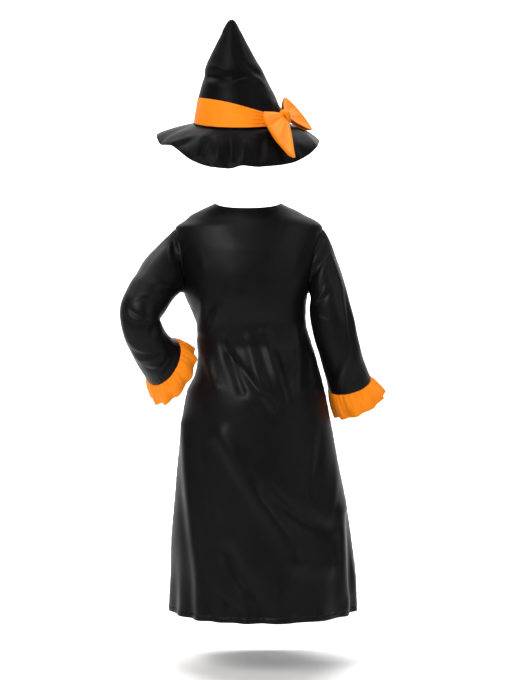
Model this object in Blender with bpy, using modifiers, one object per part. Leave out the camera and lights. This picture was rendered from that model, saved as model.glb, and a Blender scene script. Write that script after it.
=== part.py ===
"""A witch costume as it is worn: a long knit dress with frilled cuffs, and a pointed hat with a bow.

Metres, +Z up. The back of the dress faces -Y and its front +Y. The origin is the middle of the
shoulder line, where the wearer carries the dress. Every cloth piece is an open surface, worked out
from the sizes below, with a Solidify modifier for its wall. The left arm is the one at -X: its
hand rests on the hip, so that sleeve is bent. The right sleeve hangs.
"""
import math
from collections import namedtuple

import bmesh
import bpy
import numpy as np
from mathutils import Vector

# Walls and seams. A gap is measured on the outside of the cloth, where it is widest: the walls
# lean together behind it. The wide gap is for the shoulder seams and the doubled hem.
DRESS_WALL = 0.0016
FRILL_WALL = 0.0012
HAT_WALL = 0.0020
TRIM_WALL = 0.0012
SEAM_GAP = 0.0006
SIDE_GAP = 0.0009
WIDE_GAP = 0.0012
ARMHOLE_GAP = 0.0008
LAID_GAP = 0.0005

# The dress body, one row for each height: the middle, half the width, and how far the
# back and the front stand from the side seams
Girth = namedtuple("Girth", "height middle half_width back front")
BODY = (
    Girth(0.027, -0.004, 0.0700, 0.047, 0.047),
    Girth(0.016, -0.004, 0.0940, 0.056, 0.055),
    Girth(0.004, -0.004, 0.1175, 0.065, 0.064),
    Girth(-0.012, 0.001, 0.1430, 0.074, 0.073),
    Girth(-0.027, -0.002, 0.1585, 0.080, 0.079),
    Girth(-0.080, -0.004, 0.1530, 0.098, 0.092),
    Girth(-0.130, -0.007, 0.1440, 0.103, 0.101),
    Girth(-0.168, -0.008, 0.1330, 0.101, 0.102),
    Girth(-0.202, -0.003, 0.1236, 0.094, 0.098),
    Girth(-0.236, 0.004, 0.1180, 0.084, 0.092),
    Girth(-0.271, 0.009, 0.1235, 0.083, 0.090),
    Girth(-0.305, 0.015, 0.1275, 0.094, 0.093),
    Girth(-0.340, 0.017, 0.1355, 0.109, 0.098),
    Girth(-0.374, 0.013, 0.1480, 0.119, 0.101),
    Girth(-0.408, 0.013, 0.1550, 0.125, 0.105),
    Girth(-0.460, 0.015, 0.1630, 0.128, 0.113),
    Girth(-0.525, 0.017, 0.1726, 0.132, 0.122),
    Girth(-0.611, 0.022, 0.1850, 0.140, 0.134),
    Girth(-0.697, 0.025, 0.1950, 0.150, 0.146),
    Girth(-0.783, 0.029, 0.2010, 0.159, 0.156),
    Girth(-0.845, 0.029, 0.2030, 0.165, 0.163),
)
FRONT_NECK_DROP = 0.038
BACK_NECK_DROP = 0.014
SHOULDER_TIP = -0.027
UNDERARM = -0.168
ARMHOLE_REACH = math.radians(24)
ARMHOLE_STEPS = 10
WAIST_END = -0.420
HEM = -0.845
HEM_TURNING = 0.010
HEM_STEP = 0.0015
HEM_RAISE = 0.0007
WAIST_ROWS = 13
SKIRT_ROWS = 12
BACK_COLUMNS = 24
FRONT_COLUMNS = 16

# Soft ridges (height above zero) and troughs (below zero) of the dress, from end to end.
# Places are measured across (x) and up (z); width is the half width of the fold.
Fold = namedtuple("Fold", "x0 z0 x1 z1 width height")
BACK_FOLDS = (
    Fold(-0.058, -0.265, -0.017, -0.372, 0.010, -0.0050),
    Fold(-0.002, -0.265, 0.026, -0.368, 0.011, 0.0050),
    Fold(-0.041, -0.299, 0.052, -0.404, 0.010, -0.0045),
    Fold(0.030, -0.250, 0.075, -0.389, 0.012, 0.0055),
    Fold(0.100, -0.241, 0.103, -0.368, 0.011, 0.0040),
    Fold(0.131, -0.299, 0.140, -0.368, 0.010, 0.0035),
    Fold(-0.088, -0.310, -0.069, -0.363, 0.011, 0.0040),
    Fold(-0.097, -0.189, -0.105, -0.243, 0.010, 0.0040),
    Fold(-0.062, -0.198, -0.092, -0.252, 0.011, 0.0035),
    Fold(-0.138, -0.447, -0.095, -0.850, 0.018, 0.0060),
    Fold(-0.056, -0.464, 0.099, -0.722, 0.022, 0.0070),
    Fold(0.099, -0.722, 0.163, -0.740, 0.020, 0.0050),
    Fold(0.047, -0.585, 0.172, -0.667, 0.018, -0.0050),
    Fold(-0.045, -0.705, 0.026, -0.826, 0.020, -0.0060),
    Fold(0.196, -0.632, 0.196, -0.826, 0.016, 0.0060),
    Fold(0.212, -0.640, 0.216, -0.840, 0.012, -0.0060),
)
FRONT_FOLDS = (
    Fold(-0.070, -0.230, -0.020, -0.350, 0.014, 0.0040),
    Fold(0.060, -0.235, 0.010, -0.360, 0.014, -0.0040),
    Fold(0.100, -0.240, 0.110, -0.350, 0.014, 0.0040),
    Fold(-0.110, -0.450, -0.120, -0.845, 0.024, 0.0070),
    Fold(-0.020, -0.520, 0.010, -0.845, 0.026, -0.0070),
    Fold(0.090, -0.480, 0.120, -0.845, 0.026, 0.0080),
    Fold(0.170, -0.560, 0.185, -0.845, 0.018, -0.0060),
)
HEM_WAVES = 9
HEM_WAVE_DEPTH = 0.0035
HEM_WAVE_REACH = 0.16
HEM_WAVE_FADE = 3
HEM_WAVE_SWAY = 2.0
SIDE_FADE = 0.25

# The sleeves: each row is a section of the arm, with its outer and inner edge as seen from
# the back, its place from front to back, and its half depth
Section = namedtuple("Section", "outer_x outer_z inner_x inner_z y half_depth")
LEFT_SLEEVE = (
    Section(-0.213, -0.082, -0.157, -0.172, -0.025, 0.050),
    Section(-0.239, -0.123, -0.167, -0.187, -0.052, 0.049),
    Section(-0.260, -0.161, -0.178, -0.206, -0.076, 0.047),
    Section(-0.271, -0.197, -0.186, -0.218, -0.092, 0.044),
    Section(-0.269, -0.232, -0.185, -0.227, -0.095, 0.044),
    Section(-0.258, -0.270, -0.181, -0.238, -0.085, 0.045),
    Section(-0.244, -0.302, -0.174, -0.251, -0.070, 0.048),
    Section(-0.229, -0.331, -0.166, -0.260, -0.054, 0.050),
    Section(-0.213, -0.358, -0.156, -0.265, -0.038, 0.052),
)
LEFT_FRILL = Section(-0.204, -0.400, -0.124, -0.282, -0.014, 0.062)
RIGHT_SLEEVE = (
    Section(0.189, -0.099, 0.131, -0.180, -0.004, 0.050),
    Section(0.204, -0.148, 0.128, -0.196, -0.010, 0.049),
    Section(0.215, -0.189, 0.128, -0.211, -0.015, 0.048),
    Section(0.226, -0.230, 0.131, -0.236, -0.018, 0.047),
    Section(0.233, -0.266, 0.138, -0.265, -0.016, 0.046),
    Section(0.242, -0.298, 0.149, -0.300, -0.008, 0.047),
    Section(0.252, -0.326, 0.159, -0.335, 0.003, 0.048),
    Section(0.261, -0.348, 0.170, -0.376, 0.016, 0.050),
)
RIGHT_FRILL = Section(0.291, -0.378, 0.184, -0.432, 0.032, 0.060)
SLEEVE_HEAD_STEPS = 4
SLEEVE_HEAD_SPREAD = 1.5
SLEEVE_SLANT = 1.6
SLEEVE_HEAD_OUT = 0.9
SLEEVE_PARTS_AT = 3
FRILL_WAVES = 11
FRILL_STEPS_A_WAVE = 6
FRILL_ROWS = 3
FRILL_WAVE_DEPTH = 0.0045
FRILL_WAVE_SWAY = 0.6
FRILL_WAVE_SPREAD = 0.8
FRILL_PUFF = 0.004

# The hat's crown: the middle and the radius of its rings, and the tilt of its lowest ring
Ring = namedtuple("Ring", "height middle_x middle_y radius")
CROWN = (
    Ring(0.197, -0.0190, 0.0040, 0.1005),
    Ring(0.223, -0.0235, -0.0020, 0.0915),
    Ring(0.253, -0.0270, -0.0090, 0.0820),
    Ring(0.277, -0.0303, -0.0145, 0.0722),
    Ring(0.295, -0.0332, -0.0185, 0.0662),
    Ring(0.310, -0.0352, -0.0220, 0.0610),
    Ring(0.328, -0.0376, -0.0260, 0.0515),
    Ring(0.345, -0.0380, -0.0300, 0.0420),
    Ring(0.361, -0.0380, -0.0335, 0.0330),
    Ring(0.378, -0.0375, -0.0375, 0.0237),
    Ring(0.394, -0.0385, -0.0410, 0.0158),
    Ring(0.4045, -0.0385, -0.0435, 0.0095),
    Ring(0.4090, -0.0385, -0.0450, 0.0050),
    Ring(0.4100, -0.0385, -0.0455, 0.0),
)
CROWN_BASE = 0.197
CROWN_TIP = 0.410
HAT_TILT = math.radians(13)
CROWN_COLUMNS = 32
CROWN_ROWS = (0.0, 0.018, 0.036, 0.058, 0.078, 0.092, 0.103, 0.120, 0.140, 0.160, 0.180, 0.197,
              0.2075, 0.212, 0.213)
DENT_HEIGHT = 0.097
DENT_WIDTH = 0.010
DENT_DEPTH = 0.0045
DENT_TOWARDS = math.radians(235)
DENT_SPREAD = 6

# The brim's outer edge, all round the hat from +X through the front: how far it reaches
# past the crown, and how far it drops below the crown's seam
BrimEdge = namedtuple("BrimEdge", "degrees reach drop")
BRIM = (
    BrimEdge(0, 0.067, 0.040),
    BrimEdge(30, 0.076, 0.030),
    BrimEdge(60, 0.084, 0.014),
    BrimEdge(90, 0.085, 0.012),
    BrimEdge(120, 0.084, 0.014),
    BrimEdge(150, 0.083, 0.018),
    BrimEdge(180, 0.081, 0.027),
    BrimEdge(195, 0.074, 0.043),
    BrimEdge(206, 0.063, 0.043),
    BrimEdge(216, 0.059, 0.053),
    BrimEdge(230, 0.059, 0.070),
    BrimEdge(245, 0.046, 0.082),
    BrimEdge(260, 0.040, 0.084),
    BrimEdge(272, 0.044, 0.078),
    BrimEdge(286, 0.042, 0.081),
    BrimEdge(300, 0.047, 0.080),
    BrimEdge(315, 0.052, 0.076),
    BrimEdge(330, 0.062, 0.063),
    BrimEdge(345, 0.068, 0.045),
)
BRIM_COLUMNS = 48
BRIM_ROWS = 5
BRIM_SPREAD = 1.35
BRIM_FALL = 1.25

# The band round the crown narrows towards the bow
BOW_ANGLE = math.radians(-28)
BAND_FOOT = 0.0030
BAND_HEIGHT = 0.055
BAND_NARROWING = 0.031
BAND_NARROW_ANGLE = math.radians(60)
BAND_ROWS = 3
SMALL_TURN = 0.01
SMALL_RISE = 0.001

# The bow: its knot, and its two looped wings. Each has an upper and a lower outer corner, the
# place of its root, how far its outer edge bulges, and how far its upper corner is rounded back.
KNOT = (0.0741, -0.0492, 0.2045)
KNOT_HALF_LENGTH = 0.0085
KNOT_HALF_HEIGHT = 0.0145
KNOT_HALF_DEPTH = 0.0095
KNOT_CAGE = 1.25
Wing = namedtuple("Wing", "name upper lower root bulge rounding")
WINGS = (
    Wing("bow_wing_left", (0.0292, -0.112, 0.2035), (0.0932, -0.134, 0.1135), 0.0116, 0.014, 0.012),
    Wing("bow_wing_right", (0.0753, 0.002, 0.2537), (0.1333, 0.012, 0.1845), 0.0094, 0.012, 0.004),
)
WING_PUFF = 0.011
WING_CUP = 0.003
WING_CLOSING = 0.75
WING_SPREAD = 0.9
WING_FLARE = 0.75
WING_ROOT_HALF_HEIGHT = 0.0090
WING_ROOT_HALF_DEPTH = 0.0042
WING_PLEATS = 4
WING_PLEAT_DEPTH = 0.025
WING_PLEAT_SPREAD = 0.5
WING_ROWS = 12
WING_COLUMNS = 14

Look = namedtuple("Look", "colour roughness sheen")
BLACK_KNIT = Look((0.012, 0.011, 0.014, 1.0), 0.55, 0.3)
BLACK_HAT = Look((0.014, 0.013, 0.016, 1.0), 0.6, 0.2)
ORANGE_SATIN = Look((1.0, 0.235, 0.012, 1.0), 0.45, 0.2)
MERGE_DISTANCE = 0.00001
KNOT_ROUNDING = 2
COLLECTION = "witch_costume"


def clear_scene():
    for thing in list(bpy.data.objects):
        bpy.data.objects.remove(thing, do_unlink=True)


def smooth_curve(keys, values, at):
    """Read values at any place between their keys, along a smooth curve that never overshoots."""
    keys = np.asarray(keys, dtype=float)
    values = np.asarray(values, dtype=float)
    order = np.argsort(keys)
    keys, values = keys[order], values[order]
    steps = np.diff(keys)
    slopes = np.diff(values) / steps
    tangents = np.concatenate(([slopes[0]], np.zeros(len(slopes) - 1), [slopes[-1]]))
    products = slopes[:-1] * slopes[1:]
    means = 2 * products / np.where(products > 0, slopes[:-1] + slopes[1:], 1.0)
    tangents[1:-1] = np.where(products > 0, means, 0.0)
    at = np.clip(at, keys[0], keys[-1])
    spot = np.clip(np.searchsorted(keys, at, side="right") - 1, 0, len(keys) - 2)
    t = (at - keys[spot]) / steps[spot]
    first = (1 + 2 * t) * (1 - t) ** 2 * values[spot] + t ** 2 * (3 - 2 * t) * values[spot + 1]
    second = t * (1 - t) ** 2 * tangents[spot] - t ** 2 * (1 - t) * tangents[spot + 1]
    return first + steps[spot] * second


def column(table, name, at):
    """One named column of a table, read by the table's first column."""
    return smooth_curve([row[0] for row in table], [getattr(row, name) for row in table], at)


def unit(vectors):
    return vectors / np.linalg.norm(vectors, axis=-1, keepdims=True)


def fold_push(x, z, folds):
    """Sum of the folds: a bell across each fold's line, fading out at both ends."""
    total = np.zeros_like(x)
    for fold in folds:
        run_x, run_z = fold.x1 - fold.x0, fold.z1 - fold.z0
        length = math.hypot(run_x, run_z)
        along = ((x - fold.x0) * run_x + (z - fold.z0) * run_z) / length ** 2
        across = ((x - fold.x0) * run_z - (z - fold.z0) * run_x) / length
        beyond = np.maximum(0, np.abs(along - 0.5) - 0.5) * length
        distance = np.hypot(across, beyond)
        total += fold.height * np.exp(-(distance / fold.width) ** 2)
    return total


def body_points(angle, height):
    """Points of the dress body: an ellipse at each height, pushed out by folds and hem waves.

    The angle runs from +X through the front (+Y), so the back lies between pi and two pi.
    """
    half_width = column(BODY, "half_width", height)
    is_back = np.sin(angle) < 0
    depth = np.where(is_back, column(BODY, "back", height), column(BODY, "front", height))
    x = column(BODY, "middle", height) + half_width * np.cos(angle)
    y = depth * np.sin(angle)
    push = np.where(is_back, fold_push(x, height, BACK_FOLDS), fold_push(x, height, FRONT_FOLDS))
    above_hem = (height - HEM) / HEM_WAVE_REACH
    waves = np.sin(2 * HEM_WAVES * angle + HEM_WAVE_SWAY * np.sin(3 * angle))
    push += HEM_WAVE_DEPTH * np.exp(-above_hem ** 2 * HEM_WAVE_FADE) * waves
    push *= np.minimum(1, np.abs(np.sin(angle)) / SIDE_FADE)
    push += np.where(above_hem * HEM_WAVE_REACH < HEM_TURNING + HEM_STEP / 10, HEM_RAISE, 0)
    return np.stack([x + push * np.cos(angle), y + push * np.sin(angle), height], axis=-1)


def body_heights():
    """The heights of the dress body's rows, from the neck to the hem."""
    neck = [row.height for row in BODY[:4]]
    middle = (SHOULDER_TIP + UNDERARM) / 2
    half = (SHOULDER_TIP - UNDERARM) / 2
    armhole = middle + half * np.cos(np.linspace(0, math.pi, ARMHOLE_STEPS + 1))
    waist = np.linspace(UNDERARM, WAIST_END, WAIST_ROWS + 1)[1:]
    turning_top = HEM + HEM_TURNING + HEM_STEP
    skirt = np.linspace(WAIST_END, turning_top, SKIRT_ROWS)[1:]
    return np.concatenate([neck, armhole, waist, skirt, [HEM + HEM_TURNING, HEM]])


def armhole_reach(heights):
    """How far round the body the armhole reaches at each height: half of an oval."""
    middle = (SHOULDER_TIP + UNDERARM) / 2
    half = (SHOULDER_TIP - UNDERARM) / 2
    return ARMHOLE_REACH * np.sqrt(np.clip(1 - ((heights - middle) / half) ** 2, 0, 1))


def body_panel(start, columns, neck_drop):
    """A half tube from the side at the angle start, cut away at the armholes and the neck."""
    heights = body_heights()
    thick = (heights > SHOULDER_TIP - SEAM_GAP) | (heights < HEM + 2 * HEM_TURNING)
    seam = np.where(thick, WIDE_GAP, SIDE_GAP) / 2 / column(BODY, "back", heights)
    inset = np.maximum(armhole_reach(heights), seam)[:, None]
    across = np.linspace(0, 1, columns + 1)[None, :]
    angle = start + inset + (math.pi - 2 * inset) * across
    top = np.clip((heights - SHOULDER_TIP) / (heights[0] - SHOULDER_TIP), 0, 1)[:, None]
    height = heights[:, None] - neck_drop * top * np.sin(math.pi * across) ** 2
    return body_points(angle, height)


def armhole_loop(side, margin):
    """The sleeve's first ring: the armhole's oval on the body, drawn in by the margin."""
    steps = np.arange(2 * ARMHOLE_STEPS)
    turn = math.pi * steps / ARMHOLE_STEPS
    middle = (SHOULDER_TIP + UNDERARM) / 2
    half = (SHOULDER_TIP - UNDERARM) / 2
    height = middle + (half - margin) * np.cos(turn)
    half_width = column(BODY, "half_width", height)
    reach = (ARMHOLE_REACH - margin / half_width * SLEEVE_SLANT) * np.sin(turn)
    angle = np.where(side > 0, -reach, math.pi + reach) % (2 * math.pi)
    return body_points(angle, height)


def section_ring(section, path, count):
    """A closed oval section, from its outer edge round by the back to its inner edge."""
    outer = np.array([section.outer_x, section.y, section.outer_z])
    inner = np.array([section.inner_x, section.y, section.inner_z])
    centre = (outer + inner) / 2
    chord = (outer - inner) / 2
    depth = unit(np.cross(chord, path))
    depth = -depth if depth[1] > 0 else depth
    turn = 2 * math.pi * np.arange(count) / count
    return (centre + chord * np.cos(turn)[:, None]
            + depth * section.half_depth * np.sin(turn)[:, None])


def section_centre(section):
    return np.array([(section.outer_x + section.inner_x) / 2, section.y,
                     (section.outer_z + section.inner_z) / 2])


def loft(rings, first_tangent, stops):
    """Smooth strips through the rings, read at the stops (counted in rings)."""
    tangents = np.gradient(rings, axis=0)
    tangents[0] = first_tangent
    start = np.minimum(np.floor(stops).astype(int), len(rings) - 2)
    t = (stops - start)[:, None, None]
    return ((1 + 2 * t) * (1 - t) ** 2 * rings[start] + t ** 2 * (3 - 2 * t) * rings[start + 1]
            + t * (1 - t) ** 2 * tangents[start] - t ** 2 * (1 - t) * tangents[start + 1])


def arm_paths(sections):
    """The direction of the arm at each section."""
    centres = np.array([section_centre(section) for section in sections])
    return unit(np.gradient(centres, axis=0))


def sleeve_rings(sections, frill, count):
    paths = arm_paths(sections + (frill,))
    return np.array([section_ring(section, path, count)
                     for section, path in zip(sections + (frill,), paths)])


def sleeve_points(side, sections, frill):
    """From the armhole over the shoulder and down the arm, to the frill's seam.

    Given as two stretches, an upper and a lower one, so that the hollow of each stays simple.
    """
    count = 2 * ARMHOLE_STEPS
    head = armhole_loop(side, ARMHOLE_GAP)
    ahead = unit(armhole_loop(side, 2 * ARMHOLE_GAP) - head)
    ahead = unit(ahead + np.array([side * SLEEVE_HEAD_OUT, 0, 0]))
    rings = np.concatenate([head[None], sleeve_rings(sections, frill, count)[:-1]])
    first_tangent = ahead * np.linalg.norm(rings[1] - rings[0], axis=1, keepdims=True)
    head_stops = np.linspace(0, 1, SLEEVE_HEAD_STEPS + 1) ** SLEEVE_HEAD_SPREAD
    stops = np.concatenate([head_stops, np.arange(2, len(rings))])
    points = loft(rings, first_tangent, stops)[:, ::-side]
    cut = SLEEVE_HEAD_STEPS + SLEEVE_PARTS_AT - 1
    lower = points[cut:].copy()
    lower[0] += unit(lower[1] - lower[0]) * SIDE_GAP
    return points[:cut + 1], lower


def frill_points(side, sections, frill):
    """From the sleeve's end outwards: a flaring tube whose waves grow towards its edge."""
    count = FRILL_WAVES * FRILL_STEPS_A_WAVE
    seam_ring, edge_ring = sleeve_rings(sections, frill, count)[-2:]
    path = unit(edge_ring.mean(axis=0) - seam_ring.mean(axis=0))
    seam_ring = seam_ring + path * SEAM_GAP
    along = np.linspace(0, 1, FRILL_ROWS + 1)[:, None, None]
    base = seam_ring + (edge_ring - seam_ring) * along
    turn = 2 * math.pi * np.arange(count) / count
    wave = np.sin(FRILL_WAVES * turn + FRILL_WAVE_SWAY * np.sin(2 * turn))[None, :, None]
    depth = FRILL_WAVE_DEPTH * along ** FRILL_WAVE_SPREAD
    puff = FRILL_PUFF * np.sin(math.pi * along)
    outward = unit(base - base.mean(axis=1, keepdims=True))
    points = base + outward * (depth * wave + puff)
    return points[:, ::-side]


def crown_points(angle, rise):
    """Rings round the leaning crown, tilted back at the base, with one soft dent half way up."""
    height = CROWN_BASE + rise
    radius = column(CROWN, "radius", height)
    facing = np.maximum(0, np.cos((angle - DENT_TOWARDS) / 2)) ** DENT_SPREAD
    dent = DENT_DEPTH * np.exp(-((rise - DENT_HEIGHT) / DENT_WIDTH) ** 2) * facing
    radius = radius - dent
    x = column(CROWN, "middle_x", height) + radius * np.cos(angle)
    y = column(CROWN, "middle_y", height) + radius * np.sin(angle)
    upright = rise / (CROWN_TIP - CROWN_BASE)
    z = height + math.tan(HAT_TILT) * (1 - upright) * radius * np.sin(angle)
    return np.stack([x, y, z], axis=-1)


def round_angles(count):
    return 2 * math.pi * np.arange(count) / count


def crown_grid():
    rises = np.array(CROWN_ROWS[::-1])[:, None]
    return crown_points(round_angles(CROWN_COLUMNS)[None, :] + 0 * rises, rises + 0 * rises)


def brim_grid():
    """From the crown's seam outwards: the edge's reach and drop, both eased along the way."""
    angle = round_angles(BRIM_COLUMNS)[None, :]
    along = np.linspace(0, 1, BRIM_ROWS + 1)[:, None]
    wrapped = BRIM[-3:] + BRIM + BRIM[:3]
    turns = [-360] * 3 + [0] * len(BRIM) + [360] * 3
    degrees = [row.degrees + turn for row, turn in zip(wrapped, turns)]
    reach = smooth_curve(degrees, [row.reach for row in wrapped], np.degrees(angle))
    drop = smooth_curve(degrees, [row.drop for row in wrapped], np.degrees(angle))
    out = reach * (1 - (1 - along) ** BRIM_SPREAD)
    down = drop * along ** BRIM_FALL + SEAM_GAP
    seam = crown_points(angle, np.zeros_like(angle))
    direction = np.stack([np.cos(angle), np.sin(angle), 0 * angle], axis=-1)
    return seam + direction * out[..., None] - np.array([0, 0, 1]) * down[..., None]


def band_grid():
    """A strip on the crown, moved out from its points, narrower at the bow."""
    angle = round_angles(CROWN_COLUMNS)[None, :]
    away = (angle - BOW_ANGLE + math.pi) % (2 * math.pi) - math.pi
    height = BAND_HEIGHT - BAND_NARROWING * np.exp(-(away / BAND_NARROW_ANGLE) ** 2)
    along = np.linspace(1, 0, BAND_ROWS + 1)[:, None]
    rise = BAND_FOOT + (height - BAND_FOOT) * along
    points = crown_points(angle + 0 * rise, rise)
    ahead = crown_points(angle + SMALL_TURN, rise) - crown_points(angle - SMALL_TURN, rise)
    up = crown_points(angle, rise + SMALL_RISE) - crown_points(angle, rise - SMALL_RISE)
    outward = unit(np.cross(ahead, up))
    return points + outward * (LAID_GAP + TRIM_WALL)


def knot_axes():
    """The bow's own axes at the knot: along its wings, up its height, and out from the hat."""
    left, right = [(np.array(wing.upper) + np.array(wing.lower)) / 2 for wing in WINGS]
    along = unit(right - left)
    out = np.array([math.cos(BOW_ANGLE), math.sin(BOW_ANGLE), 0.0])
    up = unit(np.cross(out, along))
    up = -up if up[2] < 0 else up
    return along, up, unit(out - along * np.dot(out, along))


def make_knot():
    """The wrapped knot: a soft block, rounded by subdivision and turned to the bow's axes."""
    along, up, out = knot_axes()
    mesh = bpy.data.meshes.new("bow_knot")
    shape = bmesh.new()
    bmesh.ops.create_cube(shape, size=2 * KNOT_CAGE)
    turn = np.stack([out * KNOT_HALF_DEPTH, along * KNOT_HALF_LENGTH, up * KNOT_HALF_HEIGHT])
    for vert in shape.verts:
        vert.co = Vector(np.array(KNOT) + np.array(vert.co) @ turn)
    shape.to_mesh(mesh)
    shape.free()
    mesh.shade_smooth()
    mesh.materials.append(material("bow_knot", ORANGE_SATIN))
    thing = bpy.data.objects.new("bow_knot", mesh)
    bpy.data.collections[COLLECTION].objects.link(thing)
    rounding = thing.modifiers.new("rounding", "SUBSURF")
    rounding.levels = KNOT_ROUNDING
    rounding.render_levels = KNOT_ROUNDING


def wing_grid(wing):
    """A strip that leaves the knot, folds over at the wing's edge and comes back behind it.

    Its outer edge is half of an oval between the two corners, its front is slightly cupped and
    its back is puffed, and both draw together towards the corners.
    """
    knot = np.array(KNOT)
    upper, lower = np.array(wing.upper), np.array(wing.lower)
    middle = (upper + lower) / 2
    out = knot_axes()[2]
    towards = unit(middle - knot)
    side = (upper - lower) / 2
    normal = unit(np.cross(side, towards))
    normal = -normal if np.dot(normal, out) < 0 else normal
    turn = np.linspace(0, math.pi, WING_ROWS + 1)[:, None, None]
    across = np.linspace(-1, 1, WING_COLUMNS + 1)[None, :, None]
    run = np.sin(turn) ** WING_SPREAD
    round_the_edge = math.pi / 2 * across
    reach = np.linalg.norm(middle - knot) - wing.root + wing.bulge * np.cos(round_the_edge)
    reach = reach - wing.rounding * np.maximum(0, across) ** 4
    root = across * WING_ROOT_HALF_HEIGHT
    height = root + (np.linalg.norm(side) * np.sin(round_the_edge) - root) * run ** WING_FLARE
    flat = knot + towards * (wing.root + reach * run) + unit(side) * height
    closing = 1 - WING_CLOSING * np.abs(across) ** 3
    bend = np.where(np.cos(turn) > 0, -WING_CUP, WING_PUFF)
    puff = bend * np.sin(2 * turn) * closing + WING_ROOT_HALF_DEPTH * np.cos(turn)
    half_height = WING_ROOT_HALF_HEIGHT + (np.linalg.norm(side) - WING_ROOT_HALF_HEIGHT) * run
    pleat = np.cos(math.pi * WING_PLEATS * across) * WING_PLEAT_DEPTH * half_height
    pleat = pleat * np.sin(turn) * np.sign(np.cos(turn)) * np.abs(np.cos(turn)) ** WING_PLEAT_SPREAD
    return flat + normal * (puff + pleat)


def material(name, look):
    made = bpy.data.materials.new(name)
    made.use_nodes = True
    shader = made.node_tree.nodes["Principled BSDF"]
    shader.inputs["Base Color"].default_value = look.colour
    shader.inputs["Roughness"].default_value = look.roughness
    shader.inputs["Sheen Weight"].default_value = look.sheen
    made.diffuse_color = look.colour
    return made


def cloth(name, grid, wall, closed, look):
    """A cloth piece: the grid's surface, faces out, with its wall on the inside."""
    rows, columns = grid.shape[:2]
    numbers = np.arange(rows * columns).reshape(rows, columns)
    following = np.roll(numbers, -1, axis=1) if closed else numbers[:, 1:]
    here = numbers if closed else numbers[:, :-1]
    faces = np.stack([here[:-1], here[1:], following[1:], following[:-1]], axis=-1)
    mesh = bpy.data.meshes.new(name)
    mesh.from_pydata(grid.reshape(-1, 3).tolist(), [], faces.reshape(-1, 4).tolist())
    shape = bmesh.new()
    shape.from_mesh(mesh)
    bmesh.ops.remove_doubles(shape, verts=shape.verts, dist=MERGE_DISTANCE)
    shape.to_mesh(mesh)
    shape.free()
    mesh.shade_smooth()
    mesh.materials.append(material(name, look))
    thing = bpy.data.objects.new(name, mesh)
    bpy.data.collections[COLLECTION].objects.link(thing)
    solid = thing.modifiers.new("wall", "SOLIDIFY")
    solid.thickness = wall
    solid.offset = -1
    solid.use_even_offset = True
    solid.use_rim = True


def make_dress():
    back = body_panel(math.pi, BACK_COLUMNS, BACK_NECK_DROP)
    front = body_panel(0, FRONT_COLUMNS, FRONT_NECK_DROP)
    cloth("back_panel", back, DRESS_WALL, False, BLACK_KNIT)
    cloth("front_panel", front, DRESS_WALL, False, BLACK_KNIT)
    arms = (("left", -1, LEFT_SLEEVE, LEFT_FRILL), ("right", 1, RIGHT_SLEEVE, RIGHT_FRILL))
    for name, side, sections, frill in arms:
        upper, lower = sleeve_points(side, sections, frill)
        cloth("sleeve_" + name + "_upper", upper, DRESS_WALL, True, BLACK_KNIT)
        cloth("sleeve_" + name + "_lower", lower, DRESS_WALL, True, BLACK_KNIT)
        cloth("frill_" + name, frill_points(side, sections, frill), FRILL_WALL, True, ORANGE_SATIN)


def make_hat():
    cloth("hat_crown", crown_grid(), HAT_WALL, True, BLACK_HAT)
    cloth("hat_brim", brim_grid(), HAT_WALL, True, BLACK_HAT)
    cloth("hat_band", band_grid(), TRIM_WALL, True, ORANGE_SATIN)
    make_knot()
    for wing in WINGS:
        cloth(wing.name, wing_grid(wing), TRIM_WALL, False, ORANGE_SATIN)


def main():
    clear_scene()
    bpy.context.scene.collection.children.link(bpy.data.collections.new(COLLECTION))
    make_dress()
    make_hat()


main()
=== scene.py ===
"""A witch costume as it is worn: the cloth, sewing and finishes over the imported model.

Metres, +Z up, the back of the dress towards -Y. Every cloth piece is worked out from the same sizes
as its node, on a finer grid, with the creases, seams and hems that the cloth has.
"""

import math
from collections import namedtuple

import bmesh
import bpy
import numpy as np
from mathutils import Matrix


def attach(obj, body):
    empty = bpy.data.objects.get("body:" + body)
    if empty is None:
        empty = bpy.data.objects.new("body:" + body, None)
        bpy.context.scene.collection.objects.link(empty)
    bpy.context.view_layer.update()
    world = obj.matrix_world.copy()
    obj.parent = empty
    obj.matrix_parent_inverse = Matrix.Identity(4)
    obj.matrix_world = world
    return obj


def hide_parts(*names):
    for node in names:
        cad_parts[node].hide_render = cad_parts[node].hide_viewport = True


# The walls of the cloth and the seams between its pieces
KNIT_WALL = 0.0008
FRILL_WALL = 0.0007
HAT_WALL = 0.0016
TRIM_WALL = 0.0008
SOLID_TRIM_WALL = 0.0012
SEAM_GAP = 0.0006
SIDE_GAP = 0.0009
WIDE_GAP = 0.0012
ARMHOLE_GAP = 0.0008
LAID_GAP = 0.0005

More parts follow.
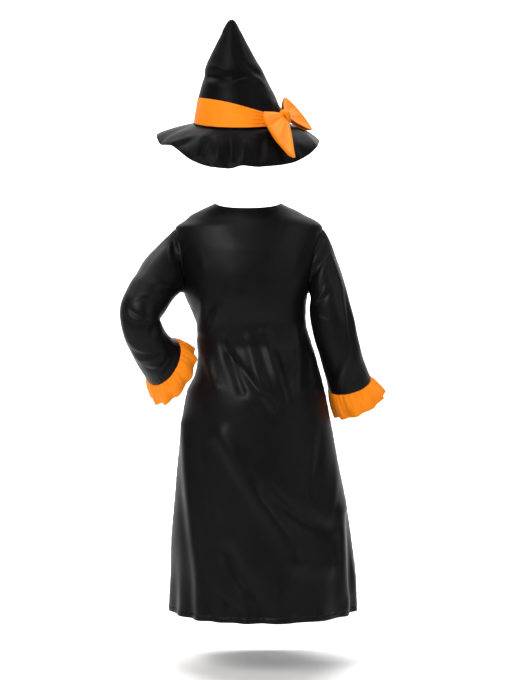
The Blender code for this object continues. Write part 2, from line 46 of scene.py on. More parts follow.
# The dress body, one row for each height: the middle, half the width, and how far the
# back and the front stand from the side seams
Girth = namedtuple("Girth", "height middle half_width back front")
BODY = (
    Girth(0.027, -0.004, 0.0700, 0.047, 0.047),
    Girth(0.016, -0.004, 0.0940, 0.056, 0.055),
    Girth(0.004, -0.004, 0.1175, 0.065, 0.064),
    Girth(-0.012, 0.001, 0.1430, 0.074, 0.073),
    Girth(-0.027, -0.002, 0.1585, 0.080, 0.079),
    Girth(-0.080, -0.004, 0.1530, 0.098, 0.092),
    Girth(-0.130, -0.007, 0.1440, 0.103, 0.101),
    Girth(-0.168, -0.008, 0.1330, 0.101, 0.102),
    Girth(-0.202, -0.003, 0.1236, 0.094, 0.098),
    Girth(-0.236, 0.004, 0.1180, 0.084, 0.092),
    Girth(-0.271, 0.009, 0.1235, 0.083, 0.090),
    Girth(-0.305, 0.015, 0.1275, 0.094, 0.093),
    Girth(-0.340, 0.017, 0.1355, 0.109, 0.098),
    Girth(-0.374, 0.013, 0.1480, 0.119, 0.101),
    Girth(-0.408, 0.013, 0.1550, 0.125, 0.105),
    Girth(-0.460, 0.015, 0.1630, 0.128, 0.113),
    Girth(-0.525, 0.017, 0.1726, 0.132, 0.122),
    Girth(-0.611, 0.022, 0.1850, 0.140, 0.134),
    Girth(-0.697, 0.025, 0.1950, 0.150, 0.146),
    Girth(-0.783, 0.029, 0.2010, 0.159, 0.156),
    Girth(-0.845, 0.029, 0.2030, 0.165, 0.163),
)
NECK = 0.027
FRONT_NECK_DROP = 0.038
BACK_NECK_DROP = 0.014
SHOULDER_TIP = -0.027
UNDERARM = -0.168
ARMHOLE_REACH = math.radians(24)
WAIST_END = -0.420
HEM = -0.845
HEM_TURNING = 0.010
HEM_RAISE = 0.0007
NECK_TURNING = 0.007
NECK_RAISE = 0.0004
NECK_ROWS = 20
ARMHOLE_ROWS = 56
WAIST_ROWS = 60
SKIRT_ROWS = 76
HEM_ROWS = 45
HEM_ZONE = 0.045
BACK_COLUMNS = 150
FRONT_COLUMNS = 110
SIDE_FADE = 0.25

# The dress's main folds, from end to end, as its nodes have them: ridges above zero, troughs
# below. Places are measured across (x) and up (z); width is the half width of the fold.
Fold = namedtuple("Fold", "x0 z0 x1 z1 width height")
BACK_FOLDS = (
    Fold(-0.058, -0.265, -0.017, -0.372, 0.010, -0.0050),
    Fold(-0.002, -0.265, 0.026, -0.368, 0.013, 0.0042),
    Fold(-0.041, -0.299, 0.052, -0.404, 0.010, -0.0045),
    Fold(0.030, -0.250, 0.075, -0.389, 0.014, 0.0048),
    Fold(0.100, -0.241, 0.103, -0.368, 0.011, 0.0040),
    Fold(0.131, -0.299, 0.140, -0.368, 0.010, 0.0035),
    Fold(-0.088, -0.310, -0.069, -0.363, 0.011, 0.0040),
    Fold(-0.097, -0.189, -0.105, -0.243, 0.010, 0.0040),
    Fold(-0.062, -0.198, -0.092, -0.252, 0.011, 0.0035),
    Fold(-0.138, -0.447, -0.095, -0.850, 0.018, 0.0060),
    Fold(-0.056, -0.464, 0.099, -0.722, 0.022, 0.0070),
    Fold(0.099, -0.722, 0.163, -0.740, 0.020, 0.0050),
    Fold(0.047, -0.585, 0.172, -0.667, 0.018, -0.0050),
    Fold(-0.045, -0.705, 0.026, -0.826, 0.020, -0.0060),
    Fold(0.196, -0.632, 0.196, -0.826, 0.016, 0.0060),
    Fold(0.212, -0.640, 0.216, -0.840, 0.012, -0.0060),
)
FRONT_FOLDS = (
    Fold(-0.070, -0.230, -0.020, -0.350, 0.014, 0.0040),
    Fold(0.060, -0.235, 0.010, -0.360, 0.014, -0.0040),
    Fold(0.100, -0.240, 0.110, -0.350, 0.014, 0.0040),
    Fold(-0.110, -0.450, -0.120, -0.845, 0.024, 0.0070),
    Fold(-0.020, -0.520, 0.010, -0.845, 0.026, -0.0070),
    Fold(0.090, -0.480, 0.120, -0.845, 0.026, 0.0080),
    Fold(0.170, -0.560, 0.185, -0.845, 0.018, -0.0060),
)
HEM_WAVES = 9
HEM_WAVE_DEPTH = 0.0035
HEM_WAVE_REACH = 0.16
HEM_WAVE_FADE = 3
HEM_WAVE_SWAY = 2.0

# Finer creases, each a bent line through three places, soft ridges above zero and troughs below
Crease = namedtuple("Crease", "x0 z0 x1 z1 x2 z2 width height")
BACK_CREASES = (
    # the skirt's long ridges at the left
    Crease(-0.143, -0.403, -0.128, -0.610, -0.091, -0.831, 0.009, 0.0022),
    Crease(-0.156, -0.420, -0.146, -0.600, -0.118, -0.800, 0.008, -0.0016),
    Crease(-0.105, -0.452, -0.083, -0.595, -0.054, -0.684, 0.010, 0.0018),
    Crease(-0.138, -0.725, -0.142, -0.788, -0.156, -0.837, 0.009, -0.0020),
    # the broad diagonal ridge over the seat and the trough above it
    Crease(-0.054, -0.454, 0.022, -0.600, 0.158, -0.723, 0.015, 0.0030),
    Crease(0.025, -0.530, 0.095, -0.625, 0.163, -0.655, 0.009, -0.0030),
    Crease(0.116, -0.580, 0.139, -0.620, 0.169, -0.648, 0.006, 0.0020),
    Crease(0.060, -0.690, 0.110, -0.722, 0.170, -0.745, 0.010, -0.0016),
    # the low folds that run to the hem
    Crease(-0.043, -0.674, -0.029, -0.734, 0.004, -0.793, 0.009, -0.0026),
    Crease(-0.058, -0.707, -0.025, -0.774, 0.000, -0.817, 0.007, 0.0022),
    Crease(-0.074, -0.781, -0.041, -0.807, -0.006, -0.831, 0.007, -0.0020),
    Crease(0.190, -0.603, 0.195, -0.726, 0.190, -0.818, 0.008, 0.0024),
    Crease(0.208, -0.619, 0.214, -0.731, 0.210, -0.811, 0.007, -0.0024),
    Crease(0.136, -0.457, 0.128, -0.505, 0.120, -0.554, 0.010, 0.0018),
    Crease(0.152, -0.433, 0.142, -0.535, 0.129, -0.595, 0.009, -0.0020),
    Crease(0.182, -0.480, 0.181, -0.581, 0.158, -0.659, 0.008, 0.0018),
    Crease(0.050, -0.760, 0.066, -0.790, 0.074, -0.826, 0.009, 0.0014),
    # the small of the back
    Crease(-0.057, -0.262, -0.038, -0.316, -0.012, -0.367, 0.0090, -0.0014),
    Crease(-0.038, -0.289, -0.004, -0.342, 0.050, -0.395, 0.0090, -0.0014),
    Crease(-0.002, -0.275, 0.010, -0.322, 0.025, -0.361, 0.0090, 0.0012),
    Crease(0.029, -0.247, 0.044, -0.306, 0.060, -0.359, 0.0090, 0.0015),
    Crease(0.052, -0.285, 0.065, -0.330, 0.073, -0.371, 0.0060, 0.0012),
    Crease(0.097, -0.240, 0.112, -0.290, 0.107, -0.348, 0.0090, 0.0012),
    Crease(0.090, -0.276, 0.089, -0.310, 0.086, -0.345, 0.0060, -0.0015),
    Crease(0.130, -0.297, 0.135, -0.330, 0.137, -0.364, 0.0090, 0.0012),
    Crease(0.126, -0.276, 0.124, -0.304, 0.127, -0.332, 0.0060, -0.0014),
    Crease(-0.087, -0.303, -0.077, -0.344, -0.052, -0.363, 0.0060, 0.0012),
    Crease(-0.076, -0.317, -0.072, -0.337, -0.067, -0.352, 0.0048, -0.0011),
    Crease(-0.014, -0.395, 0.010, -0.414, 0.037, -0.416, 0.0060, -0.0011),
    Crease(0.017, -0.381, 0.037, -0.393, 0.060, -0.392, 0.0060, 0.0011),
    Crease(-0.030, -0.378, -0.008, -0.384, 0.012, -0.398, 0.0060, 0.0010),
    # the bodice, pulled towards the waist at both sides
    Crease(-0.095, -0.189, -0.100, -0.223, -0.104, -0.246, 0.0072, 0.0012),
    Crease(-0.061, -0.197, -0.074, -0.222, -0.089, -0.250, 0.0072, 0.0012),
    Crease(-0.078, -0.190, -0.088, -0.220, -0.098, -0.252, 0.0060, -0.0011),
    Crease(0.105, -0.165, 0.090, -0.205, 0.086, -0.245, 0.0096, 0.0011),
    Crease(0.080, -0.150, 0.062, -0.195, 0.060, -0.240, 0.0108, 0.0010),
    Crease(-0.112, -0.075, -0.098, -0.115, -0.102, -0.160, 0.0108, 0.0012),
    Crease(0.108, -0.070, 0.096, -0.110, 0.102, -0.155, 0.0108, 0.0012),
    Crease(-0.040, -0.100, -0.030, -0.150, -0.038, -0.200, 0.0144, 0.0009),
    Crease(0.025, -0.090, 0.022, -0.140, 0.035, -0.190, 0.0144, 0.0009),
)
FRONT_CREASES = (
    Crease(-0.115, -0.170, -0.096, -0.215, -0.088, -0.255, 0.007, 0.0022),
    Crease(-0.085, -0.170, -0.066, -0.220, -0.055, -0.270, 0.008, 0.0018),
    Crease(0.105, -0.170, 0.092, -0.215, 0.088, -0.255, 0.007, 0.0022),
    Crease(0.070, -0.180, 0.060, -0.230, 0.058, -0.280, 0.008, 0.0018),
    Crease(-0.070, -0.260, -0.045, -0.310, -0.015, -0.352, 0.006, 0.0022),
    Crease(-0.050, -0.250, -0.024, -0.300, 0.004, -0.340, 0.006, -0.0020),
    Crease(0.060, -0.250, 0.038, -0.310, 0.010, -0.360, 0.006, -0.0022),
    Crease(0.086, -0.255, 0.068, -0.320, 0.046, -0.370, 0.006, 0.0020),
    Crease(-0.020, -0.385, 0.010, -0.398, 0.046, -0.390, 0.006, -0.0018),
    Crease(-0.112, -0.430, -0.118, -0.600, -0.112, -0.820, 0.011, 0.0028),
    Crease(-0.075, -0.470, -0.078, -0.620, -0.068, -0.815, 0.010, -0.0026),
    Crease(-0.012, -0.520, -0.002, -0.660, 0.012, -0.830, 0.012, -0.0030),
    Crease(0.042, -0.470, 0.050, -0.640, 0.062, -0.825, 0.010, 0.0020),
    Crease(0.096, -0.470, 0.108, -0.640, 0.120, -0.830, 0.012, 0.0030),
    Crease(0.148, -0.520, 0.158, -0.680, 0.166, -0.835, 0.009, -0.0026),
    Crease(-0.152, -0.560, -0.158, -0.690, -0.150, -0.820, 0.009, 0.0022),
)
# Short puckers that stand on the hem's turning, by their place across, and their sizes in turn
BACK_HEM_PUCKERS = (-0.133, -0.103, -0.041, 0.024, 0.082, 0.146, 0.201)
FRONT_HEM_PUCKERS = (-0.140, -0.088, -0.030, 0.036, 0.088, 0.150, 0.196)
PUCKER_WIDTH = 0.0075
PUCKER_REACH = 0.024
PUCKER_HEIGHT = 0.0022
PUCKER_FOOT = 0.012
PUCKER_SLANT = 0.15
PUCKER_SIZES = (1, 0.7, 1.1, 0.8, 1, 0.75, 1)
CREASE_STEPS = 24
CREASE_REACH = 3.5
CREASE_EASE = 0.7

# The sleeves: each row is a section of the arm, with its outer and inner edge as seen from
# the back, its place from front to back, and its half depth
Section = namedtuple("Section", "outer_x outer_z inner_x inner_z y half_depth")
LEFT_SLEEVE = (
    Section(-0.213, -0.082, -0.157, -0.172, -0.025, 0.050),
    Section(-0.239, -0.123, -0.167, -0.187, -0.052, 0.049),
    Section(-0.260, -0.161, -0.178, -0.206, -0.076, 0.047),
    Section(-0.271, -0.197, -0.186, -0.218, -0.092, 0.044),
    Section(-0.269, -0.232, -0.185, -0.227, -0.095, 0.044),
    Section(-0.258, -0.270, -0.181, -0.238, -0.085, 0.045),
    Section(-0.244, -0.302, -0.174, -0.251, -0.070, 0.048),
    Section(-0.229, -0.331, -0.166, -0.260, -0.054, 0.050),
    Section(-0.213, -0.358, -0.156, -0.265, -0.038, 0.052),
)
LEFT_FRILL = Section(-0.204, -0.400, -0.124, -0.282, -0.014, 0.062)
RIGHT_SLEEVE = (
    Section(0.189, -0.099, 0.131, -0.180, -0.004, 0.050),
    Section(0.204, -0.148, 0.128, -0.196, -0.010, 0.049),
    Section(0.215, -0.189, 0.128, -0.211, -0.015, 0.048),
    Section(0.226, -0.230, 0.131, -0.236, -0.018, 0.047),
    Section(0.233, -0.266, 0.138, -0.265, -0.016, 0.046),
    Section(0.242, -0.298, 0.149, -0.300, -0.008, 0.047),
    Section(0.252, -0.326, 0.159, -0.335, 0.003, 0.048),
    Section(0.261, -0.348, 0.170, -0.376, 0.016, 0.050),
)
RIGHT_FRILL = Section(0.291, -0.378, 0.184, -0.432, 0.032, 0.060)
SLEEVE_COLUMNS = 144
SLEEVE_HEAD_ROWS = 34
SLEEVE_HEAD_SPREAD = 1.5
SLEEVE_FACING = (0.05, 0.45)
SECTION_ROWS = 11
SLEEVE_SLANT = 1.6
SLEEVE_HEAD_OUT = 0.9
LEFT_SLEEVE_CREASES = (
    Crease(-0.174, -0.064, -0.203, -0.104, -0.248, -0.166, 0.014, 0.0030),
    Crease(-0.156, -0.039, -0.149, -0.072, -0.140, -0.109, 0.0045, 0.0024),
    Crease(-0.161, -0.047, -0.160, -0.080, -0.150, -0.113, 0.0055, -0.0034),
    Crease(-0.165, -0.060, -0.168, -0.084, -0.152, -0.109, 0.0045, 0.0022),
    Crease(-0.140, -0.143, -0.170, -0.149, -0.211, -0.145, 0.0050, 0.0018),
    Crease(-0.142, -0.149, -0.166, -0.160, -0.195, -0.162, 0.0045, -0.0020),
    Crease(-0.244, -0.176, -0.203, -0.171, -0.154, -0.174, 0.0035, 0.0016),
    Crease(-0.240, -0.180, -0.199, -0.175, -0.162, -0.180, 0.0040, -0.0018),
    Crease(-0.256, -0.198, -0.240, -0.219, -0.205, -0.223, 0.0050, 0.0026),
    Crease(-0.252, -0.194, -0.231, -0.211, -0.201, -0.218, 0.0045, -0.0022),
    Crease(-0.248, -0.225, -0.223, -0.231, -0.197, -0.225, 0.0050, -0.0018),
    Crease(-0.185, -0.225, -0.197, -0.237, -0.205, -0.253, 0.0070, -0.0050),
    Crease(-0.178, -0.243, -0.191, -0.255, -0.205, -0.257, 0.0040, 0.0026),
    Crease(-0.262, -0.231, -0.248, -0.268, -0.215, -0.292, 0.0060, 0.0026),
    Crease(-0.252, -0.284, -0.219, -0.306, -0.174, -0.288, 0.0050, 0.0026),
    Crease(-0.240, -0.284, -0.211, -0.295, -0.174, -0.280, 0.0050, -0.0030),
    Crease(-0.240, -0.298, -0.203, -0.317, -0.166, -0.284, 0.0050, 0.0022),
    Crease(-0.227, -0.304, -0.191, -0.325, -0.156, -0.272, 0.0050, -0.0020),
    Crease(-0.205, -0.347, -0.174, -0.329, -0.154, -0.284, 0.0050, -0.0018),
    Crease(-0.174, -0.255, -0.170, -0.276, -0.174, -0.288, 0.0050, -0.0024),
)
RIGHT_SLEEVE_CREASES = (
    Crease(0.161, -0.059, 0.194, -0.156, 0.205, -0.249, 0.0060, 0.0034),
    Crease(0.205, -0.249, 0.205, -0.311, 0.172, -0.355, 0.0060, 0.0030),
    Crease(0.194, -0.147, 0.209, -0.214, 0.214, -0.284, 0.0065, -0.0040),
    Crease(0.201, -0.156, 0.218, -0.214, 0.232, -0.284, 0.0060, 0.0016),
    Crease(0.161, -0.057, 0.143, -0.090, 0.128, -0.121, 0.0050, 0.0024),
    Crease(0.167, -0.068, 0.152, -0.099, 0.132, -0.138, 0.0050, -0.0024),
    Crease(0.165, -0.143, 0.152, -0.169, 0.125, -0.192, 0.0045, 0.0020),
    Crease(0.170, -0.154, 0.156, -0.178, 0.132, -0.200, 0.0050, -0.0018),
    Crease(0.139, -0.214, 0.154, -0.222, 0.176, -0.229, 0.0045, 0.0018),
    Crease(0.143, -0.311, 0.163, -0.337, 0.170, -0.360, 0.0050, -0.0018),
    Crease(0.194, -0.284, 0.194, -0.329, 0.183, -0.368, 0.0045, 0.0022),
    Crease(0.209, -0.293, 0.205, -0.333, 0.196, -0.371, 0.0050, -0.0020),
)
LEFT_SLEEVE_FRONT_CREASES = (
    Crease(-0.180, -0.070, -0.222, -0.120, -0.250, -0.180, 0.011, 0.0026),
    Crease(-0.250, -0.205, -0.220, -0.215, -0.190, -0.216, 0.006, 0.0028),
    Crease(-0.248, -0.222, -0.216, -0.232, -0.188, -0.234, 0.006, -0.0032),
    Crease(-0.246, -0.246, -0.214, -0.262, -0.182, -0.262, 0.006, 0.0026),
    Crease(-0.232, -0.300, -0.200, -0.296, -0.172, -0.276, 0.007, -0.0024),
    Crease(-0.166, -0.076, -0.170, -0.110, -0.160, -0.150, 0.007, -0.0024),
)
RIGHT_SLEEVE_FRONT_CREASES = (
    Crease(0.160, -0.080, 0.184, -0.180, 0.190, -0.340, 0.010, 0.0028),
    Crease(0.180, -0.110, 0.204, -0.210, 0.222, -0.330, 0.008, -0.0026),
    Crease(0.214, -0.222, 0.178, -0.246, 0.146, -0.250, 0.007, 0.0024),
    Crease(0.218, -0.238, 0.184, -0.262, 0.150, -0.266, 0.007, -0.0026),
    Crease(0.160, -0.060, 0.154, -0.100, 0.142, -0.140, 0.007, 0.0022),
)

# The frills: soft flutes that grow towards the edge, and small gathers at the seam
FRILL_WAVES = 11
FRILL_COLUMNS = 264
FRILL_ROWS = 30
FRILL_WAVE_DEPTH = 0.0034
FRILL_WAVE_SWAY = 0.6
FRILL_WAVE_SPREAD = 0.8
FRILL_ROW_SPREAD = 1.1
FRILL_PUFF = 0.004
FRILL_GATHERS = 3
GATHER_DEPTH = 0.0013
GATHER_FADE = 0.5
EDGE_ROLL = 0.0030
ROLL_HEIGHT = 0.0004
ROLL_SEWING = EDGE_ROLL + 0.0004

# The hat's crown: the middle and the radius of its rings, and the tilt of its lowest ring
Ring = namedtuple("Ring", "height middle_x middle_y radius")
CROWN = (
    Ring(0.197, -0.0190, 0.0040, 0.1005),
    Ring(0.223, -0.0235, -0.0020, 0.0915),
    Ring(0.253, -0.0270, -0.0090, 0.0820),
    Ring(0.277, -0.0303, -0.0145, 0.0722),
    Ring(0.295, -0.0332, -0.0185, 0.0662),
    Ring(0.310, -0.0352, -0.0220, 0.0610),
    Ring(0.328, -0.0376, -0.0260, 0.0515),
    Ring(0.345, -0.0380, -0.0300, 0.0420),
    Ring(0.361, -0.0380, -0.0335, 0.0330),
    Ring(0.378, -0.0375, -0.0375, 0.0237),
    Ring(0.394, -0.0385, -0.0410, 0.0158),
    Ring(0.4045, -0.0385, -0.0435, 0.0095),
    Ring(0.4090, -0.0385, -0.0450, 0.0050),
    Ring(0.4100, -0.0385, -0.0455, 0.0),
)
CROWN_BASE = 0.197
CROWN_TIP = 0.410
HAT_TILT = math.radians(13)
CROWN_COLUMNS = 176
CROWN_ROWS = 130
CROWN_CROWDING = 0.6
CROWN_FACING = (0.1, 0.5)
DENT_HEIGHT = 0.097
DENT_WIDTH = 0.010
DENT_DEPTH = 0.0045
DENT_TOWARDS = math.radians(235)
DENT_SPREAD = 6
CROWN_CREASES = (
    Crease(-0.029, 0.392, -0.019, 0.354, -0.004, 0.308, 0.0050, 0.0018),
    Crease(-0.044, 0.392, -0.042, 0.350, -0.029, 0.296, 0.0090, 0.0010),
    Crease(-0.092, 0.308, -0.062, 0.303, -0.025, 0.279, 0.0065, 0.0020),
    Crease(-0.090, 0.294, -0.067, 0.287, -0.033, 0.281, 0.0080, -0.0026),
    Crease(-0.035, 0.272, -0.019, 0.277, 0.002, 0.284, 0.0030, 0.0024),
    Crease(-0.042, 0.277, -0.025, 0.282, -0.008, 0.289, 0.0032, -0.0026),
    Crease(-0.029, 0.270, -0.012, 0.270, 0.000, 0.277, 0.0030, -0.0018),
    Crease(-0.002, 0.287, 0.022, 0.279, 0.040, 0.250, 0.0055, 0.0018),
    Crease(-0.012, 0.317, 0.009, 0.300, 0.025, 0.291, 0.0060, -0.0024),
    Crease(0.012, 0.270, 0.015, 0.245, 0.013, 0.224, 0.0060, -0.0022),
    Crease(-0.094, 0.272, -0.075, 0.270, -0.044, 0.260, 0.0090, 0.0018),
    Crease(0.038, 0.249, 0.044, 0.237, 0.051, 0.224, 0.0060, 0.0014),
)
CROWN_FRONT_CREASES = (
    Crease(-0.080, 0.316, -0.040, 0.308, 0.004, 0.314, 0.0050, 0.0020),
    Crease(-0.078, 0.306, -0.040, 0.298, 0.004, 0.304, 0.0050, -0.0022),
    Crease(0.006, 0.290, 0.018, 0.270, 0.026, 0.250, 0.0060, 0.0014),
)

BRIM_CREASES = (
    Crease(-0.089, 0.161, -0.098, 0.128, -0.103, 0.110, 0.0080, -0.0058),
    Crease(-0.072, 0.165, -0.066, 0.136, -0.064, 0.101, 0.0085, 0.0046),
    Crease(-0.045, 0.165, -0.039, 0.128, -0.041, 0.099, 0.0085, -0.0054),
    Crease(-0.020, 0.161, -0.012, 0.128, -0.012, 0.101, 0.0085, 0.0044),
    Crease(0.023, 0.157, 0.025, 0.128, 0.019, 0.103, 0.0085, -0.0052),
    Crease(-0.111, 0.165, -0.144, 0.153, -0.178, 0.145, 0.0060, 0.0024),
    Crease(-0.124, 0.157, -0.144, 0.145, -0.165, 0.139, 0.0070, -0.0026),
    Crease(0.050, 0.145, 0.058, 0.124, 0.058, 0.103, 0.0080, 0.0028),
    Crease(0.096, 0.145, 0.112, 0.128, 0.120, 0.114, 0.0070, -0.0030),
)

# The brim's outer edge, all round the hat from +X through the front: how far it reaches
# past the crown, and how far it drops below the crown's seam
BrimEdge = namedtuple("BrimEdge", "degrees reach drop")
BRIM = (
    BrimEdge(0, 0.067, 0.040),
    BrimEdge(30, 0.076, 0.030),
    BrimEdge(60, 0.084, 0.014),
    BrimEdge(90, 0.085, 0.012),
    BrimEdge(120, 0.084, 0.014),
    BrimEdge(150, 0.083, 0.018),
    BrimEdge(180, 0.081, 0.027),
    BrimEdge(195, 0.074, 0.043),
    BrimEdge(206, 0.063, 0.043),
    BrimEdge(216, 0.059, 0.053),
    BrimEdge(230, 0.059, 0.070),
    BrimEdge(245, 0.046, 0.082),
    BrimEdge(260, 0.040, 0.084),
    BrimEdge(272, 0.044, 0.078),
    BrimEdge(286, 0.042, 0.081),
    BrimEdge(300, 0.047, 0.080),
    BrimEdge(315, 0.052, 0.076),
    BrimEdge(330, 0.062, 0.063),
    BrimEdge(345, 0.068, 0.045),
)
BRIM_COLUMNS = 288
BRIM_ROWS = 40
BRIM_SPREAD = 1.35
BRIM_FALL = 1.25
BRIM_FLUTES = 9
BRIM_FLUTE_DEPTH = 0.0016
BRIM_STITCH_INSET = 0.005

# The band round the crown narrows towards the bow
BOW_ANGLE = math.radians(-28)
BAND_FOOT = 0.0030
BAND_HEIGHT = 0.055
BAND_NARROWING = 0.031
BAND_NARROW_ANGLE = math.radians(60)
BAND_COLUMNS = 220
BAND_ROWS = 30
BAND_PLEATS = 4.5
BAND_PLEAT_DEPTH = 0.0012
BAND_PLEAT_ANGLE = math.radians(42)
BAND_EDGE_HEIGHT = 0.0002
SMALL_TURN = 0.01
SMALL_RISE = 0.001

# The bow: its knot, and its two looped wings. Each has an upper and a lower outer corner, the
# place of its root, how far its outer edge bulges, how far its upper corner is rounded back, and
# the size and area of its cloth laid flat.
KNOT = (0.0741, -0.0492, 0.2045)
KNOT_HALF_LENGTH = 0.0098
KNOT_HALF_HEIGHT = 0.0150
KNOT_HALF_DEPTH = 0.0108
KNOT_COLUMNS = 72
KNOT_ROWS = 28
KNOT_SQUARENESS = 0.7
KNOT_DRAWING_IN = 0.24
KNOT_FOLD_DEPTH = 0.050
Wing = namedtuple("Wing", "name upper lower root bulge rounding flat area")
WINGS = (
    Wing("bow_wing_left", (0.0292, -0.112, 0.2035), (0.0932, -0.134, 0.1135), 0.0116, 0.014, 0.012,
         (0.150, 0.115), 0.0125),
    Wing("bow_wing_right", (0.0753, 0.002, 0.2537), (0.1333, 0.012, 0.1845), 0.0094, 0.014, 0.004,
         (0.130, 0.095), 0.0090),
)
WING_PUFF = 0.011
WING_CUP = 0.0045
WING_CLOSING = 0.75
WING_SPREAD = 0.9
WING_FLARE = 0.75
WING_ROOT_HALF_HEIGHT = 0.0090
WING_ROOT_HALF_DEPTH = 0.0042
WING_PLEATS = 3
WING_PLEAT_DEPTH = 0.0648
WING_FINE_PLEATS = 7
WING_FINE_DEPTH = 0.0006
WING_ROWS = 96
WING_COLUMNS = 84

# How an edge is turned in, one line of points after another: how far each goes on past the
# edge, and how far inwards. Behind a gap between two pieces, one of them reaches under the other.
NECK_TURN = ((0.0002, 0.0002), (0.0003, 0.0009), (0.0001, 0.0016), (-0.0015, 0.0018),
             (-0.0045, 0.0018), (-0.0070, 0.0017))
HEM_TURN = ((0.0003, 0.0002), (0.0004, 0.0010), (0.0002, 0.0017), (-0.0015, 0.0019),
            (-0.0060, 0.0018), (-0.0095, 0.0017))
SEAM_TURN = ((0.00012, 0.0002), (0.0002, 0.0009), (0.0002, 0.0030), (0.0002, 0.0060))
OVER_TURN = ((0.00012, 0.0002), (0.0002, 0.0012), (0.0012, 0.0030), (0.0070, 0.0036))
UNDER_TURN = ((0.00012, 0.0002), (0.0002, 0.0008), (0.0002, 0.0012), (0.0002, 0.0016))
CUFF_TURN = ((0.00012, 0.0002), (0.0002, 0.0009), (0.0009, 0.0019), (0.0030, 0.0024),
             (0.0060, 0.0026))
FRILL_SEAM_TURN = ((0.00012, 0.0002), (0.0002, 0.0008), (0.0002, 0.0013))
FRILL_EDGE_TURN = ((0.0003, 0.0002), (0.0004, 0.0008), (0.0002, 0.0014), (-0.0010, 0.0016),
                   (-0.0030, 0.0015))

# What sewing leaves in the cloth: a groove along the seam, with its depth and half width, and
# ripples beside it, with their height, the distance of their crest from the edge, and half width
Groove = namedtuple("Groove", "depth width")
NECK_GROOVE = Groove(0.0004, 0.0012)
HEM_GROOVE = Groove(0.0006, 0.0012)
SEAM_GROOVE = Groove(0.0008, 0.0035)
CUFF_GROOVE = Groove(0.0006, 0.0030)
FRILL_GROOVE = Groove(0.0007, 0.0022)
ROLL_GROOVE = Groove(0.0004, 0.0009)
CROWN_GROOVE = Groove(0.0005, 0.0020)
BRIM_GROOVE = Groove(0.0005, 0.0010)
Ripple = namedtuple("Ripple", "height inset width")
HEM_RIPPLE = Ripple(0.0004, HEM_TURNING, 0.007)
SIDE_RIPPLE = Ripple(0.0003, 0.006, 0.009)
ARMHOLE_RIPPLE = Ripple(0.0003, 0.007, 0.008)
CUFF_RIPPLE = Ripple(0.0004, 0.006, 0.008)
BRIM_RIPPLE = Ripple(0.0003, BRIM_STITCH_INSET, 0.006)

# The gentle unevenness of each piece: its height, and the size of its patches
Grain = namedtuple("Grain", "height size")
PANEL_GRAIN = Grain(0.0007, 0.030)
SLEEVE_GRAIN = Grain(0.0008, 0.026)
FRILL_GRAIN = Grain(0.0005, 0.010)
CROWN_GRAIN = Grain(0.0008, 0.028)
BRIM_GRAIN = Grain(0.0006, 0.020)
BAND_GRAIN = Grain(0.0004, 0.011)

# The stitches, and the studio
STITCH_LENGTH = 0.0026
STITCH_STEP = 0.0034
STITCH_THICKNESS = 0.00032
STITCH_SINK = 0.35
STITCH_POINTS = 5
MERGE_DISTANCE = 0.000004
MILLIMETRES = 1000.0
FLOOR_HEIGHT = -0.9675
CAMERA_PLACE = (0.011, -3.2, -0.169)
CAMERA_TILT = 1.75
CAMERA_LENS = 78.8
WALL_RADIUS = 1.5
WALL_PLACE = 3.0
WALL_TOP = 6.0
FLOOR_REACH = 9.0


def smooth_curve(keys, values, at):
    """Read values at any place between their keys, along a smooth curve that never overshoots."""
    keys = np.asarray(keys, dtype=float)
    values = np.asarray(values, dtype=float)
    order = np.argsort(keys)
    keys, values = keys[order], values[order]
    steps = np.diff(keys)
    slopes = np.diff(values) / steps
    tangents = np.concatenate(([slopes[0]], np.zeros(len(slopes) - 1), [slopes[-1]]))
    products = slopes[:-1] * slopes[1:]
    means = 2 * products / np.where(products > 0, slopes[:-1] + slopes[1:], 1.0)
    tangents[1:-1] = np.where(products > 0, means, 0.0)
    at = np.clip(at, keys[0], keys[-1])
    spot = np.clip(np.searchsorted(keys, at, side="right") - 1, 0, len(keys) - 2)
    t = (at - keys[spot]) / steps[spot]
    first = (1 + 2 * t) * (1 - t) ** 2 * values[spot] + t ** 2 * (3 - 2 * t) * values[spot + 1]
    second = t * (1 - t) ** 2 * tangents[spot] - t ** 2 * (1 - t) * tangents[spot + 1]
    return first + steps[spot] * second


def column(table, name, at):
    """One named column of a table, read by the table's first column."""
    return smooth_curve([row[0] for row in table], [getattr(row, name) for row in table], at)


def unit(vectors):
    return vectors / np.maximum(np.linalg.norm(vectors, axis=-1, keepdims=True), 1e-12)


def soft_step(low, high, at):
    """From 0 at low to 1 at high, level at both ends: 3t squared minus 2t cubed."""
    t = np.clip((at - low) / (high - low), 0, 1)
    return t * t * (3 - 2 * t)


def round_angles(count):
    return 2 * math.pi * np.arange(count) / count


def bell(distance, width):
    """1 at no distance and falling off both ways: e to the minus square of distance by width."""
    return np.exp(-(distance / width) ** 2)


def groove(kind, distance):
    """The groove of a line of sewing: a bell downwards over the distance from it."""
    return -kind.depth * bell(distance, kind.width)


def ripple(kind, wave, from_edge):
    """Ripples beside a line of sewing: a wave along it, under a bell over the way from the edge."""
    return kind.height * wave * bell(from_edge - kind.inset, kind.width)


def uneven(kind, x, z):
    return kind.height * grain(x, z, kind.size)


def grain(x, z, size):
    """A gentle unevenness between -1 and 1: three sines across each other, none in step."""
    x, z = x / size, z / size
    return (np.sin(1.7 * x + 2.3 * np.sin(0.9 * z)) + np.sin(2.1 * z + 1.9 * np.sin(1.1 * x + 1.0))
            + np.sin(1.3 * (x + z) + 0.7)) / 3


def outward(grid, closed):
    """The way out of the cloth at each point: the cross product of its two directions."""
    down = np.gradient(grid, axis=0)
    if closed:
        along = np.roll(grid, -1, axis=1) - np.roll(grid, 1, axis=1)
    else:
        along = np.gradient(grid, axis=1)
    return unit(np.cross(down, along))


